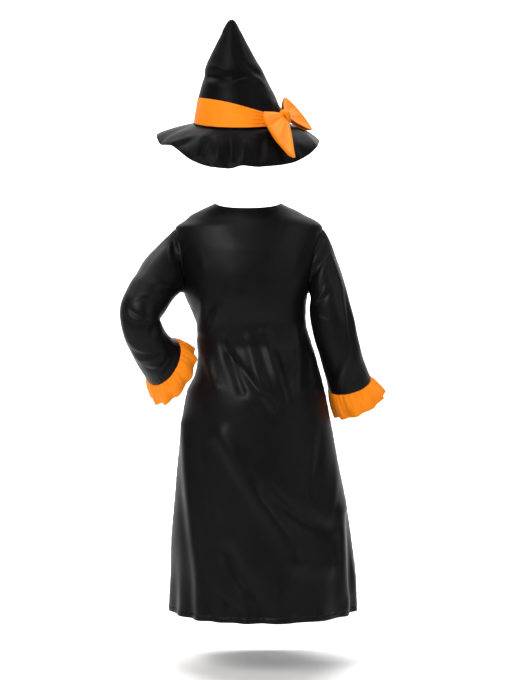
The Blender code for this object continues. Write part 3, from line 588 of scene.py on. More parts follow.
def distance_down(grid):
    """How far each point lies from the first row, measured down its column."""
    return np.cumsum(np.linalg.norm(np.diff(grid, axis=0, prepend=grid[:1]), axis=-1), axis=0)


def fold_push(x, z, folds):
    """Sum of the folds: a bell across each fold's line, fading out at both ends."""
    total = np.zeros_like(x)
    for fold in folds:
        run_x, run_z = fold.x1 - fold.x0, fold.z1 - fold.z0
        length = math.hypot(run_x, run_z)
        along = ((x - fold.x0) * run_x + (z - fold.z0) * run_z) / length ** 2
        across = ((x - fold.x0) * run_z - (z - fold.z0) * run_x) / length
        beyond = np.maximum(0, np.abs(along - 0.5) - 0.5) * length
        distance = np.hypot(across, beyond)
        total += fold.height * bell(distance, fold.width)
    return total


def crease_push(x, z, creases):
    """Sum of the creases: a bell across each bent line, whose height eases in and out along it."""
    total = np.zeros_like(x)
    steps = np.linspace(0, 1, CREASE_STEPS + 1)
    start = (1 - steps) * (1 - 2 * steps)
    middle = 4 * steps * (1 - steps)
    end = steps * (2 * steps - 1)
    for crease in creases:
        line_x = start * crease.x0 + middle * crease.x1 + end * crease.x2
        line_z = start * crease.z0 + middle * crease.z1 + end * crease.z2
        reach = CREASE_REACH * crease.width
        near = ((x > line_x.min() - reach) & (x < line_x.max() + reach)
                & (z > line_z.min() - reach) & (z < line_z.max() + reach))
        run_x, run_z = np.diff(line_x), np.diff(line_z)
        from_x = x[near][:, None] - line_x[:-1]
        from_z = z[near][:, None] - line_z[:-1]
        part = np.clip((from_x * run_x + from_z * run_z) / (run_x ** 2 + run_z ** 2), 0, 1)
        away = np.hypot(from_x - part * run_x, from_z - part * run_z)
        nearest = away.argmin(axis=1)
        row = np.arange(len(nearest))
        along = (nearest + part[row, nearest]) / CREASE_STEPS
        ease = np.sin(math.pi * np.clip(along, 0.02, 0.98)) ** CREASE_EASE
        total[near] += crease.height * ease * bell(away[row, nearest], crease.width)
    return total


def creases_round(x, z, normals, back_creases, front_creases, facing):
    """The creases of the cloth that faces back and of the cloth that faces front, faded between."""
    behind = soft_step(*facing, -normals[..., 1])
    before = soft_step(*facing, normals[..., 1])
    return crease_push(x, z, back_creases) * behind + crease_push(x, z, front_creases) * before


def body_points(angle, height):
    """Points of the dress body: an ellipse at each height, pushed out by folds and hem waves.

    The angle runs from +X through the front (+Y), so the back lies between pi and two pi.
    """
    half_width = column(BODY, "half_width", height)
    is_back = np.sin(angle) < 0
    depth = np.where(is_back, column(BODY, "back", height), column(BODY, "front", height))
    x = column(BODY, "middle", height) + half_width * np.cos(angle)
    y = depth * np.sin(angle)
    push = np.where(is_back, fold_push(x, height, BACK_FOLDS), fold_push(x, height, FRONT_FOLDS))
    above_hem = (height - HEM) / HEM_WAVE_REACH
    waves = np.sin(2 * HEM_WAVES * angle + HEM_WAVE_SWAY * np.sin(3 * angle))
    push += HEM_WAVE_DEPTH * np.exp(-above_hem ** 2 * HEM_WAVE_FADE) * waves
    push *= np.minimum(1, np.abs(np.sin(angle)) / SIDE_FADE)
    return np.stack([x + push * np.cos(angle), y + push * np.sin(angle), height], axis=-1)


def body_heights():
    """The heights of the body's rows: closest together at the armhole's ends and at the hem."""
    middle = (SHOULDER_TIP + UNDERARM) / 2
    half = (SHOULDER_TIP - UNDERARM) / 2
    neck = np.linspace(NECK, SHOULDER_TIP, NECK_ROWS, endpoint=False)
    armhole = middle + half * np.cos(np.linspace(0, math.pi, ARMHOLE_ROWS + 1))
    waist = np.linspace(UNDERARM, WAIST_END, WAIST_ROWS + 1)[1:]
    skirt = np.linspace(WAIST_END, HEM + HEM_ZONE, SKIRT_ROWS + 1)[1:]
    hem = np.linspace(HEM + HEM_ZONE, HEM, HEM_ROWS + 1)[1:]
    return np.concatenate([neck, armhole, waist, skirt, hem])


def armhole_reach(heights):
    """How far round the body the armhole reaches at each height: half of an oval."""
    middle = (SHOULDER_TIP + UNDERARM) / 2
    half = (SHOULDER_TIP - UNDERARM) / 2
    return ARMHOLE_REACH * np.sqrt(np.clip(1 - ((heights - middle) / half) ** 2, 0, 1))


def turned_edge(edge, before, normals, turns):
    """Lines that carry an edge on: each goes on by the first amount and inwards by the second."""
    ahead = unit(edge - before)
    return [edge + ahead * on - normals * inwards for on, inwards in turns]


def turn_rows(grid, closed, first=None, last=None):
    """The grid with its first or last row carried on round the edge."""
    normals = outward(grid, closed)
    blocks = [grid]
    if first:
        lines = turned_edge(grid[0], grid[1], normals[0], first)
        blocks = [np.stack(lines[::-1])] + blocks
    if last:
        lines = turned_edge(grid[-1], grid[-2], normals[-1], last)
        blocks = blocks + [np.stack(lines)]
    return np.concatenate(blocks)


def turn_sides(grid, turns, above, below):
    """The grid with its two side edges turned in, as the allowance of a seam.

    Each turn has one amount for each row. The rows above and below, which are turned in already,
    keep their edges.
    """
    normals = outward(grid, False)
    turns = [[np.pad(amount, ((above, below), (0, 0))) for amount in turn] for turn in turns]
    left = turned_edge(grid[:, 0], grid[:, 1], normals[:, 0], turns)
    right = turned_edge(grid[:, -1], grid[:, -2], normals[:, -1], turns)
    return np.concatenate([np.stack(left[::-1], axis=1), grid, np.stack(right, axis=1)], axis=1)


def hem_push(x, height, puckers):
    """The turned hem: a soft step, the groove of its stitching, and small puckers above it."""
    above = height - HEM
    step = HEM_RAISE * (1 - soft_step(HEM_TURNING - 0.0005, HEM_TURNING + 0.0015, above))
    wave = np.sin(x * 700 + 9 * grain(x, height, 0.02))
    sewing = groove(HEM_GROOVE, above - HEM_TURNING) + ripple(HEM_RIPPLE, wave, above)
    away = x[..., None] - np.array(puckers) - PUCKER_SLANT * above[..., None]
    across = (bell(away, PUCKER_WIDTH) * np.array(PUCKER_SIZES)).sum(axis=-1)
    return step + sewing + PUCKER_HEIGHT * across * bell(above - PUCKER_FOOT, PUCKER_REACH)


def panel_grid(start, columns, neck_drop, creases, puckers, side_turn):
    """A half tube from the side at the angle start, cut away at the armholes and the neck.

    The base is the node's own surface; each point is then moved out by the creases, the hem's
    turning, the neck's turning and the puckers beside the side seams.
    """
    heights = body_heights()
    thick = (heights > SHOULDER_TIP - SEAM_GAP) | (heights < HEM + 2 * HEM_TURNING)
    seam = np.where(thick, WIDE_GAP, SIDE_GAP) / 2 / column(BODY, "back", heights)
    inset = np.maximum(armhole_reach(heights), seam)[:, None]
    across = np.linspace(0, 1, columns + 1)[None, :]
    angle = start + inset + (math.pi - 2 * inset) * across
    top = np.clip((heights - SHOULDER_TIP) / (heights[0] - SHOULDER_TIP), 0, 1)[:, None]
    height = heights[:, None] - neck_drop * top * np.sin(math.pi * across) ** 2
    grid = body_points(angle, height)
    x, z = grid[..., 0], grid[..., 2]
    fade = np.minimum(1, np.abs(np.sin(angle)) / SIDE_FADE)
    push = crease_push(x, z, creases) * fade
    push += hem_push(x, z, puckers)
    below_neck = np.linalg.norm(grid - grid[:1], axis=-1)
    push += NECK_RAISE * (1 - soft_step(NECK_TURNING - 0.001, NECK_TURNING + 0.001, below_neck))
    push += groove(NECK_GROOVE, below_neck - NECK_TURNING)
    run = np.linalg.norm(np.diff(grid, axis=1, prepend=grid[:, :1]), axis=-1)
    from_left = np.cumsum(run, axis=1)
    from_side = np.minimum(from_left, from_left[:, -1:] - from_left)
    wave = np.sin(z * 2 * math.pi / 0.021 + 3 * grain(x, z, 0.03))
    push += groove(SEAM_GROOVE, from_side) + ripple(SIDE_RIPPLE, wave, from_side)
    push += uneven(PANEL_GRAIN, x, z) * fade
    grid = grid + outward(grid, False) * push[..., None]
    grid = turn_rows(grid, False, first=NECK_TURN, last=HEM_TURN)
    beside_sleeve = (armhole_reach(heights) > seam)[:, None]
    turns = [[np.where(beside_sleeve, armhole, side) for armhole, side in zip(*pair)]
             for pair in zip(SEAM_TURN, side_turn)]
    return turn_sides(grid, turns, len(NECK_TURN), len(HEM_TURN))


def armhole_loop(side, margin, count):
    """The sleeve's first ring: the armhole's oval on the body, drawn in by the margin."""
    turn = round_angles(count)
    middle = (SHOULDER_TIP + UNDERARM) / 2
    half = (SHOULDER_TIP - UNDERARM) / 2
    height = middle + (half - margin) * np.cos(turn)
    half_width = column(BODY, "half_width", height)
    reach = (ARMHOLE_REACH - margin / half_width * SLEEVE_SLANT) * np.sin(turn)
    angle = np.where(side > 0, -reach, math.pi + reach) % (2 * math.pi)
    return body_points(angle, height)


def section_ring(section, path, count):
    """A closed oval section, from its outer edge round by the back to its inner edge."""
    outer = np.array([section.outer_x, section.y, section.outer_z])
    inner = np.array([section.inner_x, section.y, section.inner_z])
    centre = (outer + inner) / 2
    chord = (outer - inner) / 2
    depth = unit(np.cross(chord, path))
    depth = -depth if depth[1] > 0 else depth
    turn = round_angles(count)
    return (centre + chord * np.cos(turn)[:, None]
            + depth * section.half_depth * np.sin(turn)[:, None])


def section_centre(section):
    return np.array([(section.outer_x + section.inner_x) / 2, section.y,
                     (section.outer_z + section.inner_z) / 2])


def loft(rings, first_tangent, stops):
    """Smooth strips through the rings, read at the stops (counted in rings)."""
    tangents = np.gradient(rings, axis=0)
    tangents[0] = first_tangent
    start = np.minimum(np.floor(stops).astype(int), len(rings) - 2)
    t = (stops - start)[:, None, None]
    return ((1 + 2 * t) * (1 - t) ** 2 * rings[start] + t ** 2 * (3 - 2 * t) * rings[start + 1]
            + t * (1 - t) ** 2 * tangents[start] - t ** 2 * (1 - t) * tangents[start + 1])


def sleeve_rings(sections, frill, count):
    """The rings of the arm and of the frill's edge, each square to the arm's own direction."""
    every = sections + (frill,)
    paths = unit(np.gradient(np.array([section_centre(section) for section in every]), axis=0))
    return np.array([section_ring(section, path, count) for section, path in zip(every, paths)])


def sleeve_grid(side, sections, frill, back_creases, front_creases):
    """From the armhole over the shoulder and down the arm, to the frill's seam, with its creases."""
    head = armhole_loop(side, ARMHOLE_GAP, SLEEVE_COLUMNS)
    ahead = unit(armhole_loop(side, 2 * ARMHOLE_GAP, SLEEVE_COLUMNS) - head)
    ahead = unit(ahead + np.array([side * SLEEVE_HEAD_OUT, 0, 0]))
    rings = np.concatenate([head[None], sleeve_rings(sections, frill, SLEEVE_COLUMNS)[:-1]])
    first_tangent = ahead * np.linalg.norm(rings[1] - rings[0], axis=1, keepdims=True)
    head_stops = np.linspace(0, 1, SLEEVE_HEAD_ROWS + 1) ** SLEEVE_HEAD_SPREAD
    arm_stops = np.linspace(1, len(rings) - 1, (len(rings) - 2) * SECTION_ROWS + 1)[1:]
    grid = loft(rings, first_tangent, np.concatenate([head_stops, arm_stops]))[:, ::-side]
    normals = outward(grid, True)
    x, y, z = np.moveaxis(grid, -1, 0)
    push = creases_round(x, z, normals, back_creases, front_creases, SLEEVE_FACING)
    down = distance_down(grid)
    up = down[-1:] - down
    turn = round_angles(SLEEVE_COLUMNS)
    push += groove(SEAM_GROOVE, down) + groove(CUFF_GROOVE, up)
    push += ripple(ARMHOLE_RIPPLE, np.sin(26 * turn + 2 * np.sin(3 * turn)), down)
    push += ripple(CUFF_RIPPLE, np.sin(30 * turn + 2 * np.sin(2 * turn)), up)
    push += uneven(SLEEVE_GRAIN, x + y, z) * soft_step(0.0, 0.02, down) * soft_step(0.0, 0.02, up)
    grid = grid + normals * push[..., None]
    return turn_rows(grid, True, first=SEAM_TURN, last=CUFF_TURN)


def frill_grid(side, sections, frill):
    """From the sleeve's end outwards: a flaring tube whose waves grow towards its edge.

    The waves are sines round the arm, uneven in width; small gathers stand at the seam and fade
    out towards the edge, which is rolled into a narrow hem.
    """
    seam_ring, edge_ring = sleeve_rings(sections, frill, FRILL_COLUMNS)[-2:]
    path = unit(edge_ring.mean(axis=0) - seam_ring.mean(axis=0))
    seam_ring = seam_ring + path * SEAM_GAP
    along = np.linspace(0, 1, FRILL_ROWS + 1)[:, None, None] ** FRILL_ROW_SPREAD
    base = seam_ring + (edge_ring - seam_ring) * along
    turn = round_angles(FRILL_COLUMNS)
    phase = FRILL_WAVES * turn + FRILL_WAVE_SWAY * np.sin(2 * turn)
    wave = np.sin(phase + 0.25 * np.sin(phase))[None, :, None]
    depth = FRILL_WAVE_DEPTH * along ** FRILL_WAVE_SPREAD
    puff = FRILL_PUFF * np.sin(math.pi * along)
    sideways = unit(base - base.mean(axis=1, keepdims=True))
    points = base + sideways * (depth * wave + puff)
    grid = points[:, ::-side]
    normals = outward(grid, True)
    gather = np.sin(FRILL_GATHERS * phase + 1.5 * np.sin(5 * turn))[None, ::-side]
    reach = along[..., 0]
    push = GATHER_DEPTH * gather * bell(reach, GATHER_FADE) * soft_step(-0.02, 0.05, reach)
    down = distance_down(grid)
    up = down[-1:] - down
    push += groove(FRILL_GROOVE, down) + groove(ROLL_GROOVE, up - ROLL_SEWING)
    push += ROLL_HEIGHT * (1 - soft_step(EDGE_ROLL, EDGE_ROLL + 0.0012, up))
    push += uneven(FRILL_GRAIN, grid[..., 0] + grid[..., 1], grid[..., 2])
    grid = grid + normals * push[..., None]
    return turn_rows(grid, True, first=FRILL_SEAM_TURN, last=FRILL_EDGE_TURN)


def crown_points(angle, rise):
    """Rings round the leaning crown, tilted back at the base, with one soft dent half way up."""
    height = CROWN_BASE + rise
    radius = column(CROWN, "radius", height)
    facing = np.maximum(0, np.cos((angle - DENT_TOWARDS) / 2)) ** DENT_SPREAD
    dent = DENT_DEPTH * bell(rise - DENT_HEIGHT, DENT_WIDTH) * facing
    radius = radius - dent
    x = column(CROWN, "middle_x", height) + radius * np.cos(angle)
    y = column(CROWN, "middle_y", height) + radius * np.sin(angle)
    upright = rise / (CROWN_TIP - CROWN_BASE)
    z = height + math.tan(HAT_TILT) * (1 - upright) * radius * np.sin(angle)
    return np.stack([x, y, z], axis=-1)


def crown_grid():
    """The crown from its tip down, with creases round the dent and a soft groove at its seam.

    Its rows stand closer together towards the tip: their rises mix even steps with a sine.
    """
    total = CROWN_TIP - CROWN_BASE
    even = np.linspace(1, 0, CROWN_ROWS + 1)
    crowded = np.sin(math.pi / 2 * even)
    rises = total * (CROWN_CROWDING * crowded + (1 - CROWN_CROWDING) * even)[:, None]
    grid = crown_points(round_angles(CROWN_COLUMNS)[None, :], rises)
    normals = outward(grid, True)
    x, y, z = np.moveaxis(grid, -1, 0)
    push = creases_round(x, z, normals, CROWN_CREASES, CROWN_FRONT_CREASES, CROWN_FACING)
    push += uneven(CROWN_GRAIN, x + 0.5 * y, z) * soft_step(0.0, 0.03, total - rises)
    push += groove(CROWN_GROOVE, rises)
    grid = grid + normals * push[..., None]
    return turn_rows(grid, True, last=CUFF_TURN)


def brim_grid():
    """From the crown's seam outwards: the edge's reach and drop, both eased along the way.

    The flutes are sines round the hat that grow outwards, and a groove runs beside the edge.
    """
    angle = round_angles(BRIM_COLUMNS)[None, :]
    along = np.linspace(0, 1, BRIM_ROWS + 1)[:, None]
    wrapped = BRIM[-3:] + BRIM + BRIM[:3]
    turns = [-360] * 3 + [0] * len(BRIM) + [360] * 3
    degrees = [row.degrees + turn for row, turn in zip(wrapped, turns)]
    reach = smooth_curve(degrees, [row.reach for row in wrapped], np.degrees(angle))
    drop = smooth_curve(degrees, [row.drop for row in wrapped], np.degrees(angle))
    out = reach * (1 - (1 - along) ** BRIM_SPREAD)
    down = drop * along ** BRIM_FALL + SEAM_GAP
    seam = crown_points(angle, np.zeros_like(angle))
    direction = np.stack([np.cos(angle), np.sin(angle), 0 * angle], axis=-1)
    grid = seam + direction * out[..., None] - np.array([0, 0, 1]) * down[..., None]
    normals = outward(grid, True)
    x, y, z = np.moveaxis(grid, -1, 0)
    run = distance_down(grid)
    inwards = run[-1:] - run
    push = groove(BRIM_GROOVE, inwards - BRIM_STITCH_INSET)
    push += ripple(BRIM_RIPPLE, np.sin(64 * angle + 3 * np.sin(5 * angle)), inwards)
    push += uneven(BRIM_GRAIN, x * 1.4, y + z)
    flutes = np.sin(BRIM_FLUTES * angle + 1.6 * np.sin(2 * angle))
    push += BRIM_FLUTE_DEPTH * flutes * along ** 1.5
    behind = soft_step(-0.2, 0.3, -np.sin(angle)) * soft_step(0.05, 0.5, along)
    push += crease_push(x, z, BRIM_CREASES) * behind
    grid = grid + normals * push[..., None]
    return turn_rows(grid, True, first=SEAM_TURN)


def band_grid():
    """A strip on the crown, moved out from its points, narrower and gathered at the bow."""
    angle = round_angles(BAND_COLUMNS)[None, :]
    away = (angle - BOW_ANGLE + math.pi) % (2 * math.pi) - math.pi
    height = BAND_HEIGHT - BAND_NARROWING * bell(away, BAND_NARROW_ANGLE)
    along = np.linspace(1, 0, BAND_ROWS + 1)[:, None]
    rise = BAND_FOOT + (height - BAND_FOOT) * along
    ahead = crown_points(angle + SMALL_TURN, rise) - crown_points(angle - SMALL_TURN, rise)
    up = crown_points(angle, rise + SMALL_RISE) - crown_points(angle, rise - SMALL_RISE)
    out = unit(np.cross(ahead, up))
    near = bell(away, BAND_PLEAT_ANGLE)
    pleats = BAND_PLEAT_DEPTH * np.sin(2 * math.pi * BAND_PLEATS * along + 0.8) * near
    ripples = uneven(BAND_GRAIN, angle * 0.09, rise) * (1 - near)
    edge = BAND_EDGE_HEIGHT * bell(np.minimum(along, 1 - along), 0.05)
    push = LAID_GAP + SOLID_TRIM_WALL + np.maximum(pleats + ripples, -0.0002) + edge
    return crown_points(angle, rise) + out * push[..., None]


def bow_axes():
    """The bow's own axes at the knot: along its wings, up its height, and out from the hat."""
    left, right = [(np.array(wing.upper) + np.array(wing.lower)) / 2 for wing in WINGS]
    along = unit(right - left)
    out = np.array([math.cos(BOW_ANGLE), math.sin(BOW_ANGLE), 0.0])
    up = unit(np.cross(out, along))
    up = -up if up[2] < 0 else up
    return along, up, unit(out - along * np.dot(out, along))


def knot_grid():
    """A strip wrapped round the bow's middle: an oval tube that draws in at its two ends.

    The oval is a rounded box, each coordinate a sine or cosine to a power below one, and three
    soft folds run round it.
    """
    along, up, out = bow_axes()
    turn = round_angles(KNOT_COLUMNS)[None, :]
    place = np.linspace(1, -1, KNOT_ROWS + 1)[:, None]
    cos, sin = np.cos(turn), np.sin(turn)
    wide = np.sign(cos) * np.abs(cos) ** KNOT_SQUARENESS
    tall = np.sign(sin) * np.abs(sin) ** KNOT_SQUARENESS
    ends = np.abs(place)
    full = 1 - KNOT_DRAWING_IN * ends ** 3 - 2.5 * np.maximum(0, ends - 0.9)
    folds = 1 + KNOT_FOLD_DEPTH * np.cos(3 * math.pi * place + 0.5 * np.sin(2 * turn))
    size = full * folds
    return (np.array(KNOT) + along * (KNOT_HALF_LENGTH * place + 0 * turn)[..., None]
            + out * (KNOT_HALF_DEPTH * size * wide)[..., None]
            + up * (KNOT_HALF_HEIGHT * size * tall)[..., None])


def wing_grid(wing):
    """A strip that leaves the knot, folds over at the wing's edge and comes back behind it.

    Its outer edge is half of an oval between the two corners, its front is slightly cupped and
    its back is puffed, and both draw together towards the corners. The pleats are cosines across
    the strip: they start at the knot, spread out with the wing and fade before its edge, with
    finer ones between them.
    """
    knot = np.array(KNOT)
    upper, lower = np.array(wing.upper), np.array(wing.lower)
    middle = (upper + lower) / 2
    out = bow_axes()[2]
    towards = unit(middle - knot)
    side = (upper - lower) / 2
    normal = unit(np.cross(side, towards))
    normal = -normal if np.dot(normal, out) < 0 else normal
    turn = np.linspace(0, math.pi, WING_ROWS + 1)[:, None, None]
    across = np.linspace(-1, 1, WING_COLUMNS + 1)[None, :, None]
    run = np.sin(turn) ** WING_SPREAD
    round_the_edge = math.pi / 2 * across
    reach = np.linalg.norm(middle - knot) - wing.root + wing.bulge * np.cos(round_the_edge)
    reach = reach - wing.rounding * np.maximum(0, across) ** 4
    root = across * WING_ROOT_HALF_HEIGHT
    height = root + (np.linalg.norm(side) * np.sin(round_the_edge) - root) * run ** WING_FLARE
    flat = knot + towards * (wing.root + reach * run) + unit(side) * height
    closing = 1 - WING_CLOSING * np.abs(across) ** 3
    bend = np.where(np.cos(turn) > 0, -WING_CUP, WING_PUFF)
    puff = bend * np.sin(2 * turn) * closing + WING_ROOT_HALF_DEPTH * np.cos(turn)
    half_height = WING_ROOT_HALF_HEIGHT + (np.linalg.norm(side) - WING_ROOT_HALF_HEIGHT) * run
    pleat = np.cos(math.pi * WING_PLEATS * across) * WING_PLEAT_DEPTH * half_height
    fade = np.cos(turn) * np.abs(np.cos(turn)) * np.sin(turn) ** 0.6
    fine = np.cos(math.pi * WING_FINE_PLEATS * across + 1.2 + 0.9 * np.sin(3 * across))
    return flat + normal * (puff + (pleat + WING_FINE_DEPTH * fine) * fade)


def cloth_map(grid, closed):
    """Where each point lies on the flat cloth, in metres: across its columns and down its rows."""
    ring = np.concatenate([grid, grid[:, :1]], axis=1) if closed else grid
    across = np.linalg.norm(np.diff(ring, axis=1), axis=-1).mean(axis=0)
    down = np.linalg.norm(np.diff(ring, axis=0), axis=-1).mean(axis=1)
    u = np.concatenate([[0], np.cumsum(across)])
    v = np.concatenate([[0], np.cumsum(down)])
    return np.stack(np.meshgrid(u, -v), axis=-1)


def add_piece(name, points, faces, finish, corners=None):
    """A piece from its points and faces, doubles merged; corners is the flat map, where it has one."""
    mesh = bpy.data.meshes.new(name)
    mesh.from_pydata(points.reshape(-1, 3).tolist(), [], faces.reshape(-1, 4).tolist())
    if corners is not None:
        layer = mesh.uv_layers.new(name="cloth")
        layer.uv.foreach_set("vector", corners.reshape(-1).astype(np.float32))
    shape = bmesh.new()
    shape.from_mesh(mesh)
    bmesh.ops.remove_doubles(shape, verts=shape.verts, dist=MERGE_DISTANCE)
    shape.to_mesh(mesh)
    shape.free()
    mesh.shade_smooth()
    mesh.materials.append(finish)
    piece = bpy.data.objects.new(name, mesh)
    bpy.context.scene.collection.objects.link(piece)
    return piece


def surface(name, grid, closed, finish):
    """A mesh from a grid: faces between neighbouring rows and columns, facing out, with its map."""
    rows, columns = grid.shape[:2]
    numbers = np.arange(rows * columns).reshape(rows, columns)
    following = np.roll(numbers, -1, axis=1) if closed else numbers[:, 1:]
    here = numbers if closed else numbers[:, :-1]
    faces = np.stack([here[:-1], here[1:], following[1:], following[:-1]], axis=-1)
    flat = cloth_map(grid, closed)
    corners = np.stack([flat[:-1, :-1], flat[1:, :-1], flat[1:, 1:], flat[:-1, 1:]], axis=2)
    return add_piece(name, grid, faces, finish, corners)


def cloth(name, nodes, grid, wall, closed, finish):
    """A cloth piece in its nodes' place: the grid's surface, with the cloth's wall inside it."""
    piece = surface(name, grid, closed, finish)
    solid = piece.modifiers.new("wall", "SOLIDIFY")
    solid.thickness = wall
    solid.offset = -1
    solid.use_even_offset = False
    solid.use_rim = True
    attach(piece, "root")
    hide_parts(*nodes)
    return piece


def even_steps(path, values, step):
    """Values that belong to a path's points, read at equal distances along the path."""
    run = np.concatenate([[0], np.cumsum(np.linalg.norm(np.diff(path, axis=0), axis=1))])
    places = np.arange(step / 2, run[-1], step)
    return np.stack([np.interp(places, run, values[:, axis]) for axis in range(3)], axis=1)


def stitches(name, paths, finish):
    """Rows of stitches: each is a small tube along its path that dips into the cloth at its ends.

    A path is a line of points with the way out of the cloth at each. A stitch has as many rings as
    each ring has points; a ring's radius and its height over the cloth are cosines along the stitch.
    """
    blocks = []
    for points, normals in paths:
        places = even_steps(points, points, STITCH_STEP)
        outs = unit(even_steps(points, normals, STITCH_STEP))
        ahead = unit(np.gradient(places, axis=0))
        sideways = unit(np.cross(outs, ahead))
        along = np.linspace(-0.5, 0.5, STITCH_POINTS)
        bulge = np.cos(math.pi * along)
        turn = round_angles(STITCH_POINTS)
        radius = STITCH_THICKNESS / 2 * bulge
        centres = (places[:, None] + ahead[:, None] * (along * STITCH_LENGTH)[None, :, None]
                   + outs[:, None] * (STITCH_THICKNESS * (bulge - STITCH_SINK))[None, :, None])
        ring = (sideways[:, None, None] * (radius[:, None] * np.cos(turn))[None, ..., None]
                + outs[:, None, None] * (radius[:, None] * np.sin(turn))[None, ..., None])
        blocks.append(centres[:, :, None] + ring)
    grid = np.concatenate(blocks)
    numbers = np.arange(grid.size // 3).reshape(grid.shape[:3])
    following = np.roll(numbers, -1, axis=2)
    faces = np.stack([numbers[:, :-1], following[:, :-1], following[:, 1:], numbers[:, 1:]], axis=-1)
    piece = add_piece(name, grid, faces, finish)
    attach(piece, "root")
    return piece


def line_across(grid, closed, skip, inset):
    """The line over the cloth at a distance from one of its edge rows, with the way out of it.

    It is measured from the first row after the skipped ones or, where skip is below zero, from
    the last row but that many.
    """
    order = slice(None, None, -1) if skip < 0 else slice(None)
    rows = grid[order][abs(skip):]
    normals = outward(grid, closed)[order][abs(skip):]
    row = np.abs(distance_down(rows).mean(axis=1) - inset).argmin()
    points, outs = rows[row], normals[row]
    if closed:
        points = np.concatenate([points, points[:1]])
        outs = np.concatenate([outs, outs[:1]])
    return points, outs


class Value:
    """A socket of a finish that can be used in sums: each sum adds its Math node."""

    def __init__(self, finish, socket):
        self.finish = finish
        self.socket = socket

    def maths(self, operation, first, second):
        return self.finish.node("ShaderNodeMath", {"operation": operation}, {0: first, 1: second})

    def __add__(self, other):
        return self.maths("ADD", self, other)

    def __radd__(self, other):
        return self.maths("ADD", other, self)

    def __sub__(self, other):
        return self.maths("SUBTRACT", self, other)

    def __rsub__(self, other):
        return self.maths("SUBTRACT", other, self)

    def __mul__(self, other):
        return self.maths("MULTIPLY", self, other)

    def __rmul__(self, other):
        return self.maths("MULTIPLY", other, self)


class Finish:
    """A material whose nodes are added one at a time."""

    def __init__(self, name, **shader):
        self.material = bpy.data.materials.new(name)
        self.material.use_nodes = True
        self.tree = self.material.node_tree
        self.tree.nodes.clear()
        output = self.tree.nodes.new("ShaderNodeOutputMaterial")
        self.shader = self.tree.nodes.new("ShaderNodeBsdfPrincipled")
        self.tree.links.new(self.shader.outputs[0], output.inputs["Surface"])
        for socket, value in shader.items():
            self.shader.inputs[socket.replace("_", " ")].default_value = value

    def node(self, kind, settings, inputs, out=0):
        """Add a node: its settings first, then a value or a link for each of its sockets."""
        made = self.tree.nodes.new(kind)
        for setting, value in settings.items():
            setattr(made, setting, value)
        for socket, value in inputs.items():
            if isinstance(value, Value):
                self.tree.links.new(value.socket, made.inputs[socket])
            else:
                made.inputs[socket].default_value = value
        return Value(self, made.outputs[out])

    def feed(self, socket, value):
        self.tree.links.new(value.socket, self.shader.inputs[socket])

    def cloth_place(self):
        """The flat map's vector, and the place across and along the cloth in millimetres."""
        flat = self.node("ShaderNodeUVMap", {"uv_map": "cloth"}, {})
        across = self.node("ShaderNodeSeparateXYZ", {}, {0: flat})
        along = Value(self, across.socket.node.outputs[1])
        return flat, across * MILLIMETRES, along * MILLIMETRES

    def sine(self, value):
        return self.node("ShaderNodeMath", {"operation": "SINE"}, {0: value})

    def noise(self, place, scale, detail):
        return self.node("ShaderNodeTexNoise", {}, {"Vector": place, "Scale": scale, "Detail": detail})

    def between(self, factor, first, second):
        return self.node("ShaderNodeMix", {"data_type": "RGBA"},
                         {"Factor": factor, 6: first, 7: second}, out=2)

    def bump(self, height, distance, strength):
        return self.node("ShaderNodeBump", {}, {"Height": height, "Distance": distance,
                                                "Strength": strength})


def knit_finish():
    """Black satin-faced knit: fine ribs with a small loop between them, brushed unevenly."""
    finish = Finish("black_knit_cloth", Sheen_Weight=0.03, Sheen_Roughness=0.35,
                    Sheen_Tint=(0.62, 0.56, 0.70, 1.0), Specular_IOR_Level=0.13)
    flat, across, along = finish.cloth_place()
    ribs = finish.sine(across * (2 * math.pi / 0.9))
    loops = finish.sine(along * (2 * math.pi / 0.7) + ribs * 0.9)
    cloudy = finish.noise(flat, 26.0, 3.0)
    fibre = finish.noise(flat, 900.0, 2.0)
    finish.feed("Base Color", finish.between(cloudy * 0.7 + fibre * 0.3, (0.0014, 0.0013, 0.0016, 1),
                                             (0.0038, 0.0034, 0.0043, 1)))
    finish.feed("Roughness", cloudy * 0.14 + fibre * 0.06 + 0.35)
    finish.feed("Normal", finish.bump(ribs * 0.3 + loops * 0.2 + fibre * 0.5, 0.00006, 0.5))
    return finish.material


def hat_finish():
    """Black satin over a stiff lining: a fine twill line and soft, broad unevenness."""
    finish = Finish("black_hat_cloth", Sheen_Weight=0.03, Sheen_Roughness=0.40,
                    Sheen_Tint=(0.62, 0.58, 0.66, 1.0), Specular_IOR_Level=0.055)
    flat, across, along = finish.cloth_place()
    twill = finish.sine((across + along) * (2 * math.pi / 0.8))
    cloudy = finish.noise(flat, 40.0, 3.0)
    fibre = finish.noise(flat, 1100.0, 2.0)
    finish.feed("Base Color", finish.between(cloudy * 0.6 + fibre * 0.4, (0.0015, 0.0014, 0.0016, 1),
                                             (0.0040, 0.0037, 0.0044, 1)))
    finish.feed("Roughness", cloudy * 0.12 + fibre * 0.08 + 0.36)
    finish.feed("Normal", finish.bump(twill * 0.4 + fibre * 0.6, 0.00006, 0.5))
    return finish.material


